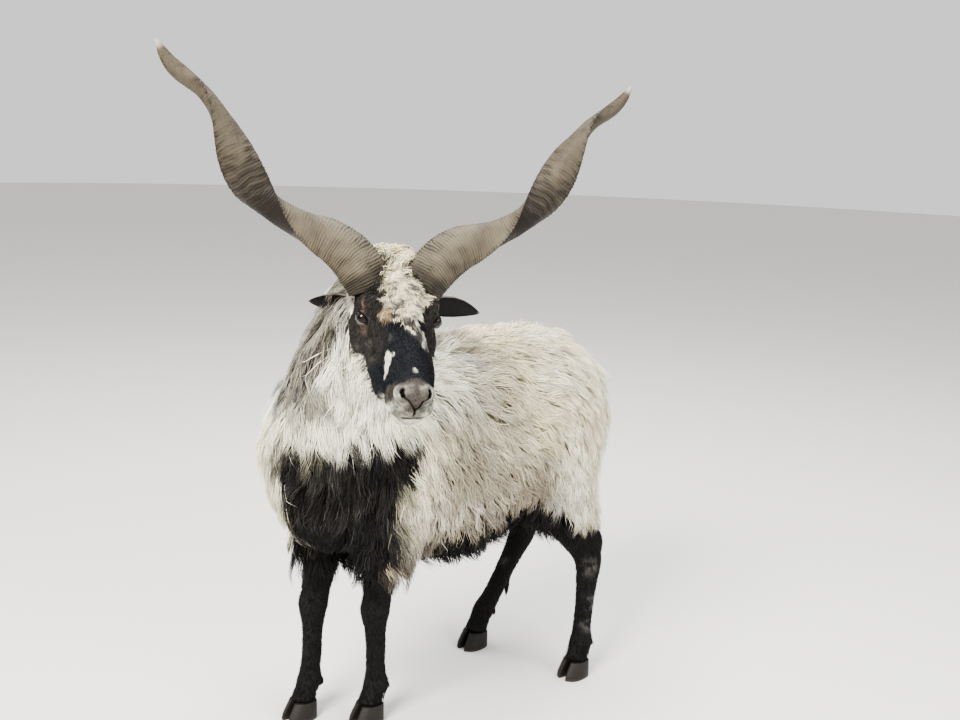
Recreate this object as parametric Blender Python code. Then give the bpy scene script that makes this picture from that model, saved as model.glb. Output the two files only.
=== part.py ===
"""A racka ram standing with its head turned to its left, life-size, in metres.

The animal faces -Y and its left side is +X. The floor is z = 0.
The body is modelled whole from lofted forms and parted with thin cuts into named nodes.
Long flat locks of wool are fused to the nodes that they grow from.
"""

import math
import random
from dataclasses import dataclass

import bmesh
import bpy
from mathutils import Matrix, Vector
from mathutils.bvhtree import BVHTree

# Driving dimensions
GAP = 0.0003
FLEECE_CORE = 0.016
BODY_VOXEL = 0.008
HEAD_VOXEL = 0.0045
SEED = 11

# Where the head sits on the neck, and how it is held
POLL = Vector((0.163, -0.261, 0.925))
HEAD_YAW = math.radians(61.0)
HEAD_PITCH = math.radians(32)
HEAD_ROLL = math.radians(3.8)

# The head's own landmarks, in its local frame: muzzle at -Y, top at +Z, left at +X
EYE_PLACE = Vector((0.0585, -0.090, -0.046))
EYE_RADIUS = 0.0135
EYE_AXIS = Vector((0.84, -0.52, 0.14))
EAR_ROOT = Vector((0.058, -0.012, -0.084))
EAR_WAY = {"left": Vector((0.80, 0.22, -0.27)), "right": Vector((-0.80, 0.56, -0.50))}
EAR_LENGTH = {"left": 0.130, "right": 0.098}
EAR_WIDTH = 0.047
EAR_FACE = Vector((0, -1, 0.10))
EAR_WALL = 0.0045
# Share of an ear's length, share of its width, depth of the cup against its half width
EAR_SHAPE = (
    (0.00, 0.58, 0.80), (0.12, 0.74, 0.74), (0.28, 0.94, 0.62), (0.45, 1.00, 0.50),
    (0.62, 0.86, 0.40), (0.78, 0.60, 0.30), (0.90, 0.34, 0.20), (1.00, 0.08, 0.10),
)

# Horns: a blade with two keels that winds round its own axis
HORN_ROOT = Vector((-0.050, -0.006, -0.007))
HORN_REACH = Vector((-0.347, 0.2115, 0.270))
HORN_FACE = Vector((-0.117, -0.841, 0.528))
HORN_TURN = math.radians(414)
HORN_SLOW = 0.16
HORN_LEVEL = 0.303
HORN_WAVE = 0.0226
HORN_WAVE_DEPTH = 0.008
HORN_WAVE_MIDDLE = 0.0312
HORN_WAVE_LENGTH = 0.721
HORN_WAVE_CREST = 0.412
HORN_WAVE_END = (1.064, 0.83)
HORN_SUNK = 0.06
HORN_RINGS = 40
HORN_SIDES = 10
HORN_RIDGE = 0.045
# Share of the length, full width across the keels, full thickness
HORN_SIZES = (
    (-0.06, 0.078, 0.054),
    (0.00, 0.081, 0.058),
    (0.13, 0.079, 0.053),
    (0.28, 0.073, 0.046),
    (0.43, 0.067, 0.040),
    (0.58, 0.064, 0.034),
    (0.74, 0.048, 0.026),
    (0.90, 0.029, 0.019),
    (0.96, 0.018, 0.012),
    (1.00, 0.005, 0.004),
)

# Planes that part the body, as a point and the way to the first node named
NECK_FROM_TORSO = (Vector((0, -0.13, 0.735)), Vector((0, -0.447, 0.894)))
TAIL_FROM_TORSO = (Vector((0, 0.402, 0.60)), Vector((0, 1, 0)))
HEAD_SEAM = (Vector((0, 0, -0.090)), Vector((0, -0.61, 0.79)))
FORE_SEAM = 0.345
HIND_SEAM = 0.372
HOOF_SEAM = 0.0366

# Trunk under the wool: y, height of the centre, half width, half height
TRUNK = (
    (-0.355, 0.520, 0.050, 0.080),
    (-0.315, 0.530, 0.086, 0.130),
    (-0.240, 0.548, 0.112, 0.168),
    (-0.110, 0.547, 0.126, 0.181),
    (0.040, 0.542, 0.143, 0.186),
    (0.160, 0.560, 0.140, 0.170),
    (0.250, 0.580, 0.120, 0.144),
    (0.315, 0.588, 0.090, 0.114),
    (0.362, 0.597, 0.045, 0.066),
)

# Neck under the wool: x, y, z of the centre, half width, half depth
NECK = (
    (0.000, -0.205, 0.560, 0.088, 0.114),
    (0.012, -0.240, 0.660, 0.080, 0.104),
    (0.044, -0.252, 0.750, 0.070, 0.089),
    (0.084, -0.250, 0.830, 0.058, 0.077),
    (0.123, -0.241, 0.884, 0.050, 0.062),
)

# Legs: x, y, z of the centre, half width, half depth, from the body down to the hoof's top
FORE_LEFT = (
    (0.068, -0.190, 0.620, 0.048, 0.080),
    (0.066, -0.190, 0.500, 0.050, 0.078),
    (0.056, -0.188, 0.420, 0.043, 0.058),
    (0.044, -0.186, 0.345, 0.034, 0.040),
    (0.034, -0.186, 0.275, 0.0260, 0.030),
    (0.028, -0.187, 0.230, 0.0265, 0.028),
    (0.024, -0.183, 0.190, 0.0200, 0.0215),
    (0.020, -0.179, 0.145, 0.0175, 0.0190),
    (0.017, -0.175, 0.100, 0.0185, 0.0205),
    (0.016, -0.174, 0.078, 0.0225, 0.0245),
    (0.015, -0.180, 0.055, 0.0210, 0.0225),
    (0.014, -0.186, 0.034, 0.0240, 0.0260),
)
FORE_RIGHT = (
    (-0.070, -0.205, 0.620, 0.048, 0.080),
    (-0.073, -0.212, 0.500, 0.050, 0.078),
    (-0.072, -0.224, 0.420, 0.043, 0.058),
    (-0.070, -0.238, 0.345, 0.034, 0.040),
    (-0.070, -0.254, 0.275, 0.0260, 0.030),
    (-0.070, -0.262, 0.230, 0.0265, 0.028),
    (-0.072, -0.262, 0.190, 0.0200, 0.0215),
    (-0.074, -0.263, 0.145, 0.0175, 0.0190),
    (-0.076, -0.264, 0.100, 0.0185, 0.0205),
    (-0.077, -0.265, 0.078, 0.0225, 0.0245),
    (-0.078, -0.273, 0.055, 0.0210, 0.0225),
    (-0.078, -0.280, 0.034, 0.0240, 0.0260),
)
HIND_LEFT = (
    (0.072, 0.230, 0.600, 0.052, 0.098),
    (0.086, 0.215, 0.500, 0.058, 0.098),
    (0.098, 0.228, 0.410, 0.046, 0.070),
    (0.110, 0.266, 0.335, 0.036, 0.048),
    (0.119, 0.300, 0.278, 0.0260, 0.035),
    (0.123, 0.311, 0.244, 0.0250, 0.032),
    (0.126, 0.306, 0.200, 0.0210, 0.0250),
    (0.129, 0.299, 0.150, 0.0185, 0.0210),
    (0.132, 0.292, 0.100, 0.0190, 0.0215),
    (0.134, 0.289, 0.078, 0.0225, 0.0245),
    (0.135, 0.281, 0.055, 0.0210, 0.0225),
    (0.136, 0.274, 0.034, 0.0240, 0.0260),
)
HIND_RIGHT = (
    (-0.072, 0.230, 0.600, 0.052, 0.098),
    (-0.082, 0.214, 0.500, 0.058, 0.098),
    (-0.083, 0.235, 0.410, 0.048, 0.072),
    (-0.081, 0.276, 0.340, 0.037, 0.048),
    (-0.081, 0.311, 0.285, 0.0270, 0.036),
    (-0.081, 0.314, 0.250, 0.0255, 0.033),
    (-0.085, 0.294, 0.210, 0.0215, 0.0255),
    (-0.092, 0.267, 0.158, 0.0190, 0.0215),
    (-0.099, 0.240, 0.106, 0.0195, 0.0220),
    (-0.104, 0.226, 0.082, 0.0225, 0.0245),
    (-0.105, 0.213, 0.057, 0.0210, 0.0225),
    (-0.105, 0.202, 0.034, 0.0240, 0.0260),
)
LEGS = {
    "leg_front_left": FORE_LEFT,
    "leg_front_right": FORE_RIGHT,
    "leg_hind_left": HIND_LEFT,
    "leg_hind_right": HIND_RIGHT,
}

# A claw's sole as forward and sideways shares of its length and width, from heel to toe
SOLE = (
    (-0.50, 0.00), (-0.48, 0.75), (-0.30, 0.98), (0.00, 1.00), (0.28, 0.82), (0.45, 0.42), (0.50, 0.12),
    (0.40, 0.02), (0.00, 0.00),
)
CLAW_LENGTH = 0.062
CLAW_WIDTH = 0.0245
CLAW_SPLIT = 0.0016
CLAW_SPLAY = math.radians(5)
CLAW_LEAD = 0.010
# Height of a claw's ring, its size against the sole, how far it stands back
CLAW_RISE = ((0.0, 1.0, 0.0), (0.010, 0.97, 0.001), (HOOF_SEAM - GAP, 0.74, 0.009))
DEWCLAW = (0.0055, 0.0065, 0.0120)

# Tail: x, y, z, half width, half depth
TAIL = (
    (0.000, 0.345, 0.632, 0.028, 0.022),
    (0.000, 0.398, 0.622, 0.027, 0.021),
    (0.000, 0.428, 0.578, 0.026, 0.020),
    (0.000, 0.437, 0.515, 0.024, 0.018),
    (0.000, 0.437, 0.450, 0.020, 0.015),
    (0.000, 0.432, 0.398, 0.011, 0.009),
)

# Head: y, height of the centre, half width, half height, in its local frame
SKULL = (
    (0.044, -0.052, 0.040, 0.036),
    (0.008, -0.058, 0.058, 0.054),
    (-0.040, -0.062, 0.066, 0.066),
    (-0.086, -0.064, 0.064, 0.064),
    (-0.130, -0.068, 0.050, 0.056),
    (-0.176, -0.071, 0.0400, 0.047),
    (-0.216, -0.073, 0.0370, 0.0440),
    (-0.246, -0.072, 0.0370, 0.0430),
    (-0.265, -0.069, 0.0330, 0.0380),
    (-0.277, -0.066, 0.0240, 0.0260),
)


@dataclass(frozen=True)
class Lock:
    """A lock of wool: its sizes, how close its roots stand, how it wanders and its rings."""

    length: float
    width: float
    thick: float
    lift: float
    space: float
    sway: float = 0.22
    rings: int = 3
    sink: float = 0.012


LOCKS = {
    "back": Lock(0.110, 0.045, 0.014, 0.018, 0.061),
    "flank": Lock(0.120, 0.045, 0.015, 0.021, 0.063),
    "rump": Lock(0.105, 0.042, 0.014, 0.016, 0.060),
    "chest": Lock(0.130, 0.038, 0.016, 0.028, 0.055, 0.28, 4),
    "belly": Lock(0.075, 0.042, 0.014, 0.020, 0.070),
    "ruff": Lock(0.130, 0.036, 0.016, 0.028, 0.050, 0.16, 4),
    "mane": Lock(0.110, 0.042, 0.015, 0.014, 0.053, 0.14),
    "tail": Lock(0.080, 0.026, 0.013, 0.013, 0.036, 0.12, 3, 0.006),
    "poll": Lock(0.052, 0.028, 0.011, 0.020, 0.022),
}


def clear_scene():
    """Removes whatever the file starts with."""
    for old in list(bpy.data.objects):
        bpy.data.objects.remove(old)


def spline(rows, steps=3):
    """Rows of numbers made denser along a Catmull-Rom curve."""
    dense = []
    count = len(rows)
    for i in range(count - 1):
        before, start = rows[max(i - 1, 0)], rows[i]
        end, after = rows[i + 1], rows[min(i + 2, count - 1)]
        for step in range(steps):
            t = step / steps
            dense.append(
                tuple(
                    0.5 * (2 * b + (c - a) * t + (2 * a - 5 * b + 4 * c - d) * t**2
                           + (3 * b - a - 3 * c + d) * t**3)
                    for a, b, c, d in zip(before, start, end, after)
                )
            )
    dense.append(tuple(rows[-1]))
    return dense


def smooth_step(low, high, value):
    """Rises smoothly from 0 at low to 1 at high."""
    t = min(1.0, max(0.0, (value - low) / (high - low)))
    return t * t * (3 - 2 * t)


def mesh_object(name, bm):
    """A bmesh turned into a named object in the scene."""
    mesh = bpy.data.meshes.new(name)
    bm.to_mesh(mesh)
    bm.free()
    obj = bpy.data.objects.new(name, mesh)
    bpy.context.scene.collection.objects.link(obj)
    return obj


def close_tube(bm, rings):
    """Faces between successive rings of vertices, and a cap or a point at each end."""
    sides = len(rings[0])
    for lower, upper in zip(rings, rings[1:]):
        for k in range(sides):
            following = (k + 1) % sides
            if len(upper) == 1:
                bm.faces.new((lower[k], lower[following], upper[0]))
            else:
                bm.faces.new((lower[k], lower[following], upper[following], upper[k]))
    bm.faces.new(list(reversed(rings[0])))
    if len(rings[-1]) > 1:
        bm.faces.new(rings[-1])
    bmesh.ops.recalc_face_normals(bm, faces=bm.faces)


def tube(name, rings):
    """A closed tube through rings of points."""
    bm = bmesh.new()
    close_tube(bm, [[bm.verts.new(point) for point in ring] for ring in rings])
    return mesh_object(name, bm)


def loft(name, stations, side=Vector((1, 0, 0)), sides=14, grow=0.0, steps=3):
    """A closed tube of oval sections: stations hold x, y, z, half width and half depth."""
    dense = spline(stations, steps)
    centres = [Vector(row[:3]) for row in dense]
    rings = []
    for i, row in enumerate(dense):
        along = (centres[min(i + 1, len(dense) - 1)] - centres[max(i - 1, 0)]).normalized()
        across = (side - along * side.dot(along)).normalized()
        depth = along.cross(across)
        ring = []
        for k in range(sides):
            angle = 2 * math.pi * k / sides
            offset = across * math.cos(angle) * (row[3] + grow)
            offset += depth * math.sin(angle) * (row[4] + grow)
            ring.append(centres[i] + offset)
        rings.append(ring)
    return tube(name, rings)


def ellipsoid(name, centre, radii, turn=None, segments=14, rings=9):
    """A closed ellipsoid, turned about its own centre."""
    bm = bmesh.new()
    bmesh.ops.create_uvsphere(bm, u_segments=segments, v_segments=rings, radius=1)
    place = Matrix.Translation(centre) @ (turn or Matrix.Identity(4)) @ Matrix.Diagonal((*radii, 1))
    bm.transform(place)
    return mesh_object(name, bm)


def head_matrix():
    """The head's place and turn in the animal's frame."""
    turn = Matrix.Rotation(HEAD_YAW, 4, "Z") @ Matrix.Rotation(HEAD_PITCH, 4, "X")
    return Matrix.Translation(POLL) @ turn @ Matrix.Rotation(HEAD_ROLL, 4, "Y")


def head_seam():
    """The plane between head and neck in the animal's frame."""
    place = head_matrix()
    return place @ HEAD_SEAM[0], place.to_3x3() @ HEAD_SEAM[1]


def mirrored(vector, hand):
    """A vector of the right side, taken to the side that hand names: -1 right, 1 left."""
    return Vector((-vector.x * hand, vector.y, vector.z))


def apply_modifiers(obj):
    """The object's evaluated mesh takes the place of its own."""
    graph = bpy.context.evaluated_depsgraph_get()
    mesh = bpy.data.meshes.new_from_object(obj.evaluated_get(graph))
    obj.modifiers.clear()
    obj.data = mesh
    return obj


def boolean(obj, operation, others, solver="EXACT"):
    """Joins, cuts or intersects obj with the other closed objects, which are then removed."""
    group = bpy.data.collections.new("operands")
    bpy.context.scene.collection.children.link(group)
    for other in others:
        bpy.context.scene.collection.objects.unlink(other)
        group.objects.link(other)
    modifier = obj.modifiers.new("boolean", "BOOLEAN")
    modifier.operation = operation
    modifier.solver = solver
    modifier.operand_type = "COLLECTION"
    modifier.collection = group
    apply_modifiers(obj)
    for other in others:
        bpy.data.objects.remove(other)
    bpy.data.collections.remove(group)
    return obj


def keep_largest(obj):
    """Only the largest closed surface of an object stays."""
    bm = bmesh.new()
    bm.from_mesh(obj.data)
    unseen = set(bm.faces)
    shells = []
    while unseen:
        shell = {unseen.pop()}
        front = list(shell)
        while front:
            face = front.pop()
            for edge in (edge for edge in face.edges if len(edge.link_faces) == 2):
                for near in edge.link_faces:
                    if near in unseen:
                        unseen.discard(near)
                        shell.add(near)
                        front.append(near)
        shells.append(shell)
    shells.sort(key=lambda shell: sum(face.calc_area() for face in shell), reverse=True)
    scraps = [face for shell in shells[1:] for face in shell]
    bmesh.ops.delete(bm, geom=scraps, context="FACES")
    bmesh.ops.delete(bm, geom=[vert for vert in bm.verts if not vert.link_faces], context="VERTS")
    bm.to_mesh(obj.data)
    bm.free()
    return obj


def half_space(plane, sign, gap=GAP / 2, reach=3.0):
    """A large block on the side of a plane that sign names, to cut with: it takes half the gap too."""
    point, way = plane
    normal = way.normalized() * sign
    turn = normal.to_track_quat("Z", "Y").to_matrix().to_4x4()
    bm = bmesh.new()
    bmesh.ops.create_cube(bm, size=reach)
    bm.transform(Matrix.Translation(point + normal * (reach / 2 - gap)) @ turn)
    return mesh_object("half_space", bm)


def block(low, high):
    """A closed box between two corners."""
    bm = bmesh.new()
    bmesh.ops.create_cube(bm, size=1)
    low, high = Vector(low), Vector(high)
    bm.transform(Matrix.Translation((low + high) / 2) @ Matrix.Diagonal((*(high - low), 1)))
    return mesh_object("block", bm)


def copy_object(obj, name):
    """A second object with its own mesh."""
    twin = bpy.data.objects.new(name, obj.data.copy())
    bpy.context.scene.collection.objects.link(twin)
    return twin


def merged(name, forms, voxel, smooth, triangles):
    """Forms joined into one smooth closed surface of about that many triangles."""
    whole = boolean(forms[0], "UNION", forms[1:]) if len(forms) > 1 else forms[0]
    whole.name = name
    remesh = whole.modifiers.new("skin", "REMESH")
    remesh.mode = "VOXEL"
    remesh.voxel_size = voxel
    relax = whole.modifiers.new("relax", "SMOOTH")
    relax.factor = 0.6
    relax.iterations = smooth
    apply_modifiers(whole)
    faces = 2 * len(whole.data.polygons)
    thin = whole.modifiers.new("thin", "DECIMATE")
    thin.ratio = min(1.0, triangles / faces)
    return apply_modifiers(whole)


def body_core():
    """The trunk, neck and upper legs in one surface, with the dense base of the wool."""
    trunk = [(0, y, z, width, height) for y, z, width, height in TRUNK]
    forms = [
        loft("trunk", trunk, grow=FLEECE_CORE),
        loft("neck", NECK, side=Vector((1, 0.35, 0)), grow=FLEECE_CORE),
    ]
    forms += [loft(name, stations[:5], sides=12) for name, stations in LEGS.items()]
    return merged("body", forms, BODY_VOXEL, 5, 1500)


def skull_forms():
    """The head's masses in its local frame: skull, brows, cheeks, nostril wings, lips and chin."""
    stations = [(0, y, z, width, height) for y, z, width, height in SKULL]
    forms = [loft("skull", stations, sides=18)]
    for hand in (-1, 1):
        forms.append(ellipsoid("brow", Vector((hand * 0.047, -0.080, -0.024)), (0.018, 0.030, 0.013)))
        forms.append(ellipsoid("cheek", Vector((hand * 0.040, -0.072, -0.098)), (0.033, 0.074, 0.038)))
        forms.append(ellipsoid("jaw", Vector((hand * 0.030, -0.145, -0.096)), (0.028, 0.085, 0.030)))
        forms.append(ellipsoid("wing", Vector((hand * 0.018, -0.261, -0.048)), (0.016, 0.019, 0.016)))
        forms.append(ellipsoid("lip", Vector((hand * 0.021, -0.244, -0.080)), (0.021, 0.033, 0.020)))
    forms.append(ellipsoid("chin", Vector((0, -0.240, -0.110)), (0.024, 0.030, 0.013)))
    forms.append(ellipsoid("throat", Vector((0, 0.000, -0.085)), (0.046, 0.050, 0.062)))
    return forms


def eye_axes(hand):
    """Outward, forward and upward directions at the eye on one side."""
    out = Vector((EYE_AXIS.x * hand, EYE_AXIS.y, EYE_AXIS.z)).normalized()
    ahead = Vector((0, -1, -0.25))
    ahead = (ahead - out * ahead.dot(out)).normalized()
    up = out.cross(ahead) * -hand
    return out, ahead, up.normalized()


def lid(hand, rise):
    """One eyelid: a tapered roll that follows the ball, arched by the angle rise."""
    out, ahead, up = eye_axes(hand)
    centre = mirrored(Vector((-EYE_PLACE.x, EYE_PLACE.y, EYE_PLACE.z)), hand)
    rings = []
    count = 7
    for i in range(count + 1):
        share = 2 * i / count - 1
        turn = math.radians(72) * share
        lift = rise * (1 - share**2)
        way = out * math.cos(lift) * math.cos(turn) + ahead * math.cos(lift) * math.sin(turn)
        way = (way + up * math.sin(lift)).normalized()
        along = (ahead * math.cos(turn) - out * math.sin(turn)).normalized()
        rim = way.cross(along).normalized()
        radius = 0.0042 * (1 - 0.45 * share**2)
        ring = []
        for k in range(5):
            angle = 2 * math.pi * k / 5
            spot = centre + way * (EYE_RADIUS + 0.0005 + radius * 0.75 * math.cos(angle))
            ring.append(spot + rim * radius * math.sin(angle))
        rings.append(ring)
    return tube("lid", rings)


def mouth_cutter(head):
    """A thin roll that follows the lips' surface from one corner of the mouth to the other."""
    tree = BVHTree.FromObject(head, bpy.context.evaluated_depsgraph_get())
    centre = Vector((0, -0.228, -0.0985))
    path = []
    count = 12
    for i in range(count + 1):
        share = 2 * i / count - 1
        turn = math.radians(105) * share
        way = Vector((math.sin(turn), -math.cos(turn), -0.04 * math.cos(turn)))
        hit = tree.ray_cast(centre + way * 0.2, -way)[0]
        path.append(hit)
    rings = []
    for i, spot in enumerate(path):
        along = (path[min(i + 1, count)] - path[max(i - 1, 0)]).normalized()
        out = Vector((0, 0, 1)).cross(along).normalized()
        up = along.cross(out)
        radius = 0.0022 * (1.0 if 0 < i < count else 0.5)
        ring = []
        for k in range(4):
            angle = 2 * math.pi * k / 4
            ring.append(spot + out * radius * 1.8 * math.cos(angle) + up * radius * math.sin(angle))
        rings.append(ring)
    return tube("mouth", rings)


def nostril(hand):
    """A slanting slit that opens towards the side of the nose."""
    turn = Matrix.Rotation(math.radians(-38) * hand, 4, "Y")
    turn = turn @ Matrix.Rotation(math.radians(24) * hand, 4, "Z")
    place = Vector((hand * 0.0165, -0.2770, -0.0450))
    return ellipsoid("nostril", place, (0.0115, 0.0140, 0.0042), turn, segments=8, rings=5)


def horn_size(share):
    """Full width and thickness of a horn at a share of its length."""
    for low, high in zip(HORN_SIZES, HORN_SIZES[1:]):
        if share <= high[0]:
            t = (share - low[0]) / (high[0] - low[0])
            return low[1] + (high[1] - low[1]) * t, low[2] + (high[2] - low[2]) * t
    return HORN_SIZES[-1][1:]


def horn_centre(share):
    """A point of the right horn's centre line, which waves round its own axis."""
    axis = HORN_REACH.normalized()
    face = (HORN_FACE - axis * HORN_FACE.dot(axis)).normalized()
    side = axis.cross(face)
    angle = -math.pi / 2 + 2 * math.pi * (share - HORN_WAVE_CREST) / HORN_WAVE_LENGTH
    offset = face * math.cos(angle) * HORN_WAVE_DEPTH
    offset += side * (math.sin(angle) * HORN_WAVE - HORN_WAVE_MIDDLE)
    return HORN_ROOT + HORN_REACH * share + offset * smooth_step(*HORN_WAVE_END, share)


def horn_twist(share):
    """The turn of a keel from the horn's face, slower near the root."""
    turn = HORN_TURN * (max(share, HORN_SLOW) - HORN_LEVEL)
    return turn + 0.35 * HORN_TURN * min(0.0, share - HORN_SLOW)


def horn(name, hand, grow=0.0, last=HORN_RINGS):
    """One horn: a lens section with two keels, ridged across, wound along a waving line."""
    axis = HORN_REACH.normalized()
    face = (HORN_FACE - axis * HORN_FACE.dot(axis)).normalized()
    side = axis.cross(face)
    rings = []
    for i in range(last + 1):
        share = -HORN_SUNK + (1 + HORN_SUNK) * i / HORN_RINGS
        centre = horn_centre(share)
        along = (horn_centre(share + 0.01) - horn_centre(share - 0.01)).normalized()
        turn = horn_twist(share)
        keel = face * math.cos(turn) + side * math.sin(turn)
        keel = (keel - along * keel.dot(along)).normalized()
        flat = along.cross(keel)
        width, thick = horn_size(share)
        if i == 0:
            centre -= along * grow
        ridge = HORN_RIDGE * (1 - 0.6 * max(share, 0.0)) if i % 2 else 0.0
        brow = 1 + 0.12 * smooth_step(0.36, 0.05, share) if share < 0.36 else 1
        ring = []
        for k in range(HORN_SIDES):
            angle = 2 * math.pi * k / HORN_SIDES
            across = math.cos(angle) * width / 2 * (1 - ridge)
            swell = math.copysign(abs(math.sin(angle)) ** 1.45, math.sin(angle))
            swell *= thick / 2 * (1 - ridge) * (brow if swell < 0 else 1)
            away = keel * across + flat * swell
            away += away.normalized() * grow
            ring.append(mirrored(centre + away, hand))
        rings.append(ring)
    return tube(name, rings)


def ear(name, side_name, grow=0.0):
    """One ear: a pointed leaf rolled into a cup that faces forward. Grown, it is the room for one."""
    hand = 1 if side_name == "left" else -1
    way = EAR_WAY[side_name].normalized()
    face = (EAR_FACE - way * EAR_FACE.dot(way)).normalized()
    side = way.cross(face)
    root = Vector((EAR_ROOT.x * hand, EAR_ROOT.y, EAR_ROOT.z))
    rings = []
    for share, wide, deep in EAR_SHAPE:
        half = EAR_WIDTH / 2 * wide
        depth = half * deep
        centre = root + way * EAR_LENGTH[side_name] * share - side * 0.004 * math.sin(math.pi * share)
        centre += way * grow * (2 * share - 1) * 2
        wall = EAR_WALL * (1 - 0.7 * share)
        ring = []
        for degrees in (-90, -45, 0, 45, 90):
            angle = math.radians(degrees)
            spot = side * math.sin(angle) * (half + grow) - face * math.cos(angle) * (depth + wall + grow)
            ring.append(centre + spot)
        for degrees in (60, 0, -60):
            angle = math.radians(degrees)
            hollow = math.cos(angle) * depth * (1.0 if share > 0.05 else 0.1)
            inward = grow if grow else -hollow
            ring.append(centre + side * math.sin(angle) * half * 0.82 + face * inward)
        rings.append(ring)
    return tube(name, rings)


def eye(name, hand, grow=0.0):
    """One eyeball."""
    place = Vector((EYE_PLACE.x * hand, EYE_PLACE.y, EYE_PLACE.z))
    radius = EYE_RADIUS + grow
    return ellipsoid(name, place, (radius, radius, radius), segments=12, rings=8)


def build_head():
    """The head with its lids, mouth, nostrils and poll tuft, and sockets for what it carries."""
    head = merged("head", skull_forms(), HEAD_VOXEL, 3, 1000)
    mouth = mouth_cutter(head)
    tree = BVHTree.FromObject(head, bpy.context.evaluated_depsgraph_get())
    lids = [lid(hand, math.radians(rise)) for hand in (-1, 1) for rise in (36, -32)]
    boolean(head, "UNION", lids + poll_locks(tree))
    cutters = [mouth]
    for hand in (-1, 1):
        cutters.append(nostril(hand))
        cutters.append(eye("socket", hand, 1.5 * GAP))
        cutters.append(horn("socket", hand, 2 * GAP, 8))
        cutters.append(ear("socket", "left" if hand > 0 else "right", 1.2 * GAP))
    boolean(head, "DIFFERENCE", cutters)
    boolean(head, "DIFFERENCE", [half_space(HEAD_SEAM, -1)])
    head.data.transform(head_matrix())
    return keep_largest(head)


def build_claws(leg_name, stations):
    """The two claws of one foot, flat on the floor and parted by a cleft that opens forward."""
    foot_x, foot_y = stations[-1][:2]
    outside = 1 if leg_name.endswith("left") else -1
    made = []
    for place, hand in (("outer", outside), ("inner", -outside)):
        rings = []
        for height, scale, back in CLAW_RISE:
            ring = []
            for ahead, aside in SOLE:
                open_out = (ahead + 0.5) * CLAW_LENGTH * scale * math.tan(CLAW_SPLAY)
                x = CLAW_SPLIT + aside * CLAW_WIDTH * (scale + 1) / 2 + open_out
                y = back - ahead * CLAW_LENGTH * scale - CLAW_LEAD
                ring.append(Vector((foot_x + hand * x, foot_y + y, height)))
            rings.append(ring)
        made.append(tube(leg_name.replace("leg", "hoof") + "_" + place, rings))
    return made


def build_leg(name, stations):
    """One leg from the wool's edge to the hoof, with its two dewclaws."""
    seam = FORE_SEAM if "front" in name else HIND_SEAM
    leg = loft(name, stations, sides=8, steps=2)
    x, y, z = stations[9][:3]
    claws = []
    for hand in (-1, 1):
        place = Vector((x + hand * 0.011, y + 0.0205, z - 0.008))
        claws.append(ellipsoid("dewclaw", place, DEWCLAW, segments=6, rings=4))
    boolean(leg, "UNION", claws)
    boolean(leg, "INTERSECT", [block((-1, -1, HOOF_SEAM), (1, 1, seam - GAP))])
    return keep_largest(leg)


def surface_roots(obj, count, rng):
    """Random points spread evenly by area over an object's surface, with their normals."""
    mesh = obj.data
    mesh.calc_loop_triangles()
    triangles = list(mesh.loop_triangles)
    areas = [triangle.area for triangle in triangles]
    roots = []
    for triangle in rng.choices(triangles, weights=areas, k=count):
        a, b, c = (mesh.vertices[index].co for index in triangle.vertices)
        u, v = rng.random(), rng.random()
        if u + v > 1:
            u, v = 1 - u, 1 - v
        roots.append((a + (b - a) * u + (c - a) * v, triangle.normal.copy()))
    return roots


def lock_form(tree, root, way, kind, rng, length):
    """Rings of one lock: flat, tapered, lifting off the core and bending as it lies."""
    width = kind.width * rng.uniform(0.85, 1.15)
    sway = rng.uniform(-kind.sway, kind.sway)
    lift = kind.lift * rng.uniform(0.75, 1.2)
    step = length / kind.rings
    point = root
    rings = []
    for i in range(kind.rings + 1):
        share = i / kind.rings
        spot, normal = tree.find_nearest(point)[:2]
        way = (way - normal * way.dot(normal)).normalized()
        across = way.cross(normal)
        height = -kind.sink + (kind.sink + lift) * smooth_step(0, 0.85, share)
        centre = spot + normal * height
        half = width / 2 * (0.72 + 0.9 * share - 1.25 * share**2)
        thick = kind.thick * (1 - 0.75 * share)
        if i == kind.rings:
            rings.append([centre])
        else:
            rings.append([centre - across * half, centre + across * half, centre + normal * thick])
        way = (way + across * sway * (2 * share - 0.6)).normalized()
        point = point + way * step
    return rings


def grow_locks(core, describe, rng, tries=3600):
    """Closed locks over a core where describe names a kind and a way for them to lie."""
    tree = BVHTree.FromObject(core, bpy.context.evaluated_depsgraph_get())
    planted, locks = [], []
    for root, normal in surface_roots(core, tries, rng):
        kind_name, way = describe(root, normal)
        if kind_name is None:
            continue
        kind = LOCKS[kind_name]
        if any((root - other).length < kind.space for other in planted):
            continue
        length = kind.length * rng.uniform(0.85, 1.15)
        planted.append(root)
        locks.append(tube("lock", lock_form(tree, root, way, kind, rng, length)))
    return locks


def side_of(point, plane):
    """How far a point lies beyond a plane, on the side of the first node named."""
    return (point - plane[0]).dot(plane[1].normalized())


def body_coat(point, normal):
    """Kind and lie of the wool at a point of the body: none on the legs and under the head."""
    x, y, z = point
    if side_of(point, head_seam()) > -0.012:
        return None, None
    if side_of(point, NECK_FROM_TORSO) > 0:
        down = (Vector(NECK[0][:3]) - Vector(NECK[3][:3])).normalized()
        if normal.dot(Vector((0.6, -0.8, 0))) > 0.2:
            return "ruff", down + Vector((0.05, -0.10, -0.35))
        return "mane", down + Vector((0, 0.25, -0.15))
    if z < (FORE_SEAM if y < 0.04 else HIND_SEAM) + 0.012 or side_of(point, TAIL_FROM_TORSO) > -0.012:
        return None, None
    if y < -0.285 and z < 0.66:
        return "chest", Vector((x * 0.8, -0.15, -1))
    if normal.z < -0.55:
        return "belly", Vector((x, 0.7, -0.2))
    if y > 0.24:
        return "rump", Vector((x * 1.5, 0.35, -1))
    if normal.z > 0.55:
        return "back", Vector((x * 1.5, 1, -0.1))
    return "flank", Vector((0, 0.75, -0.8))


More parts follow.
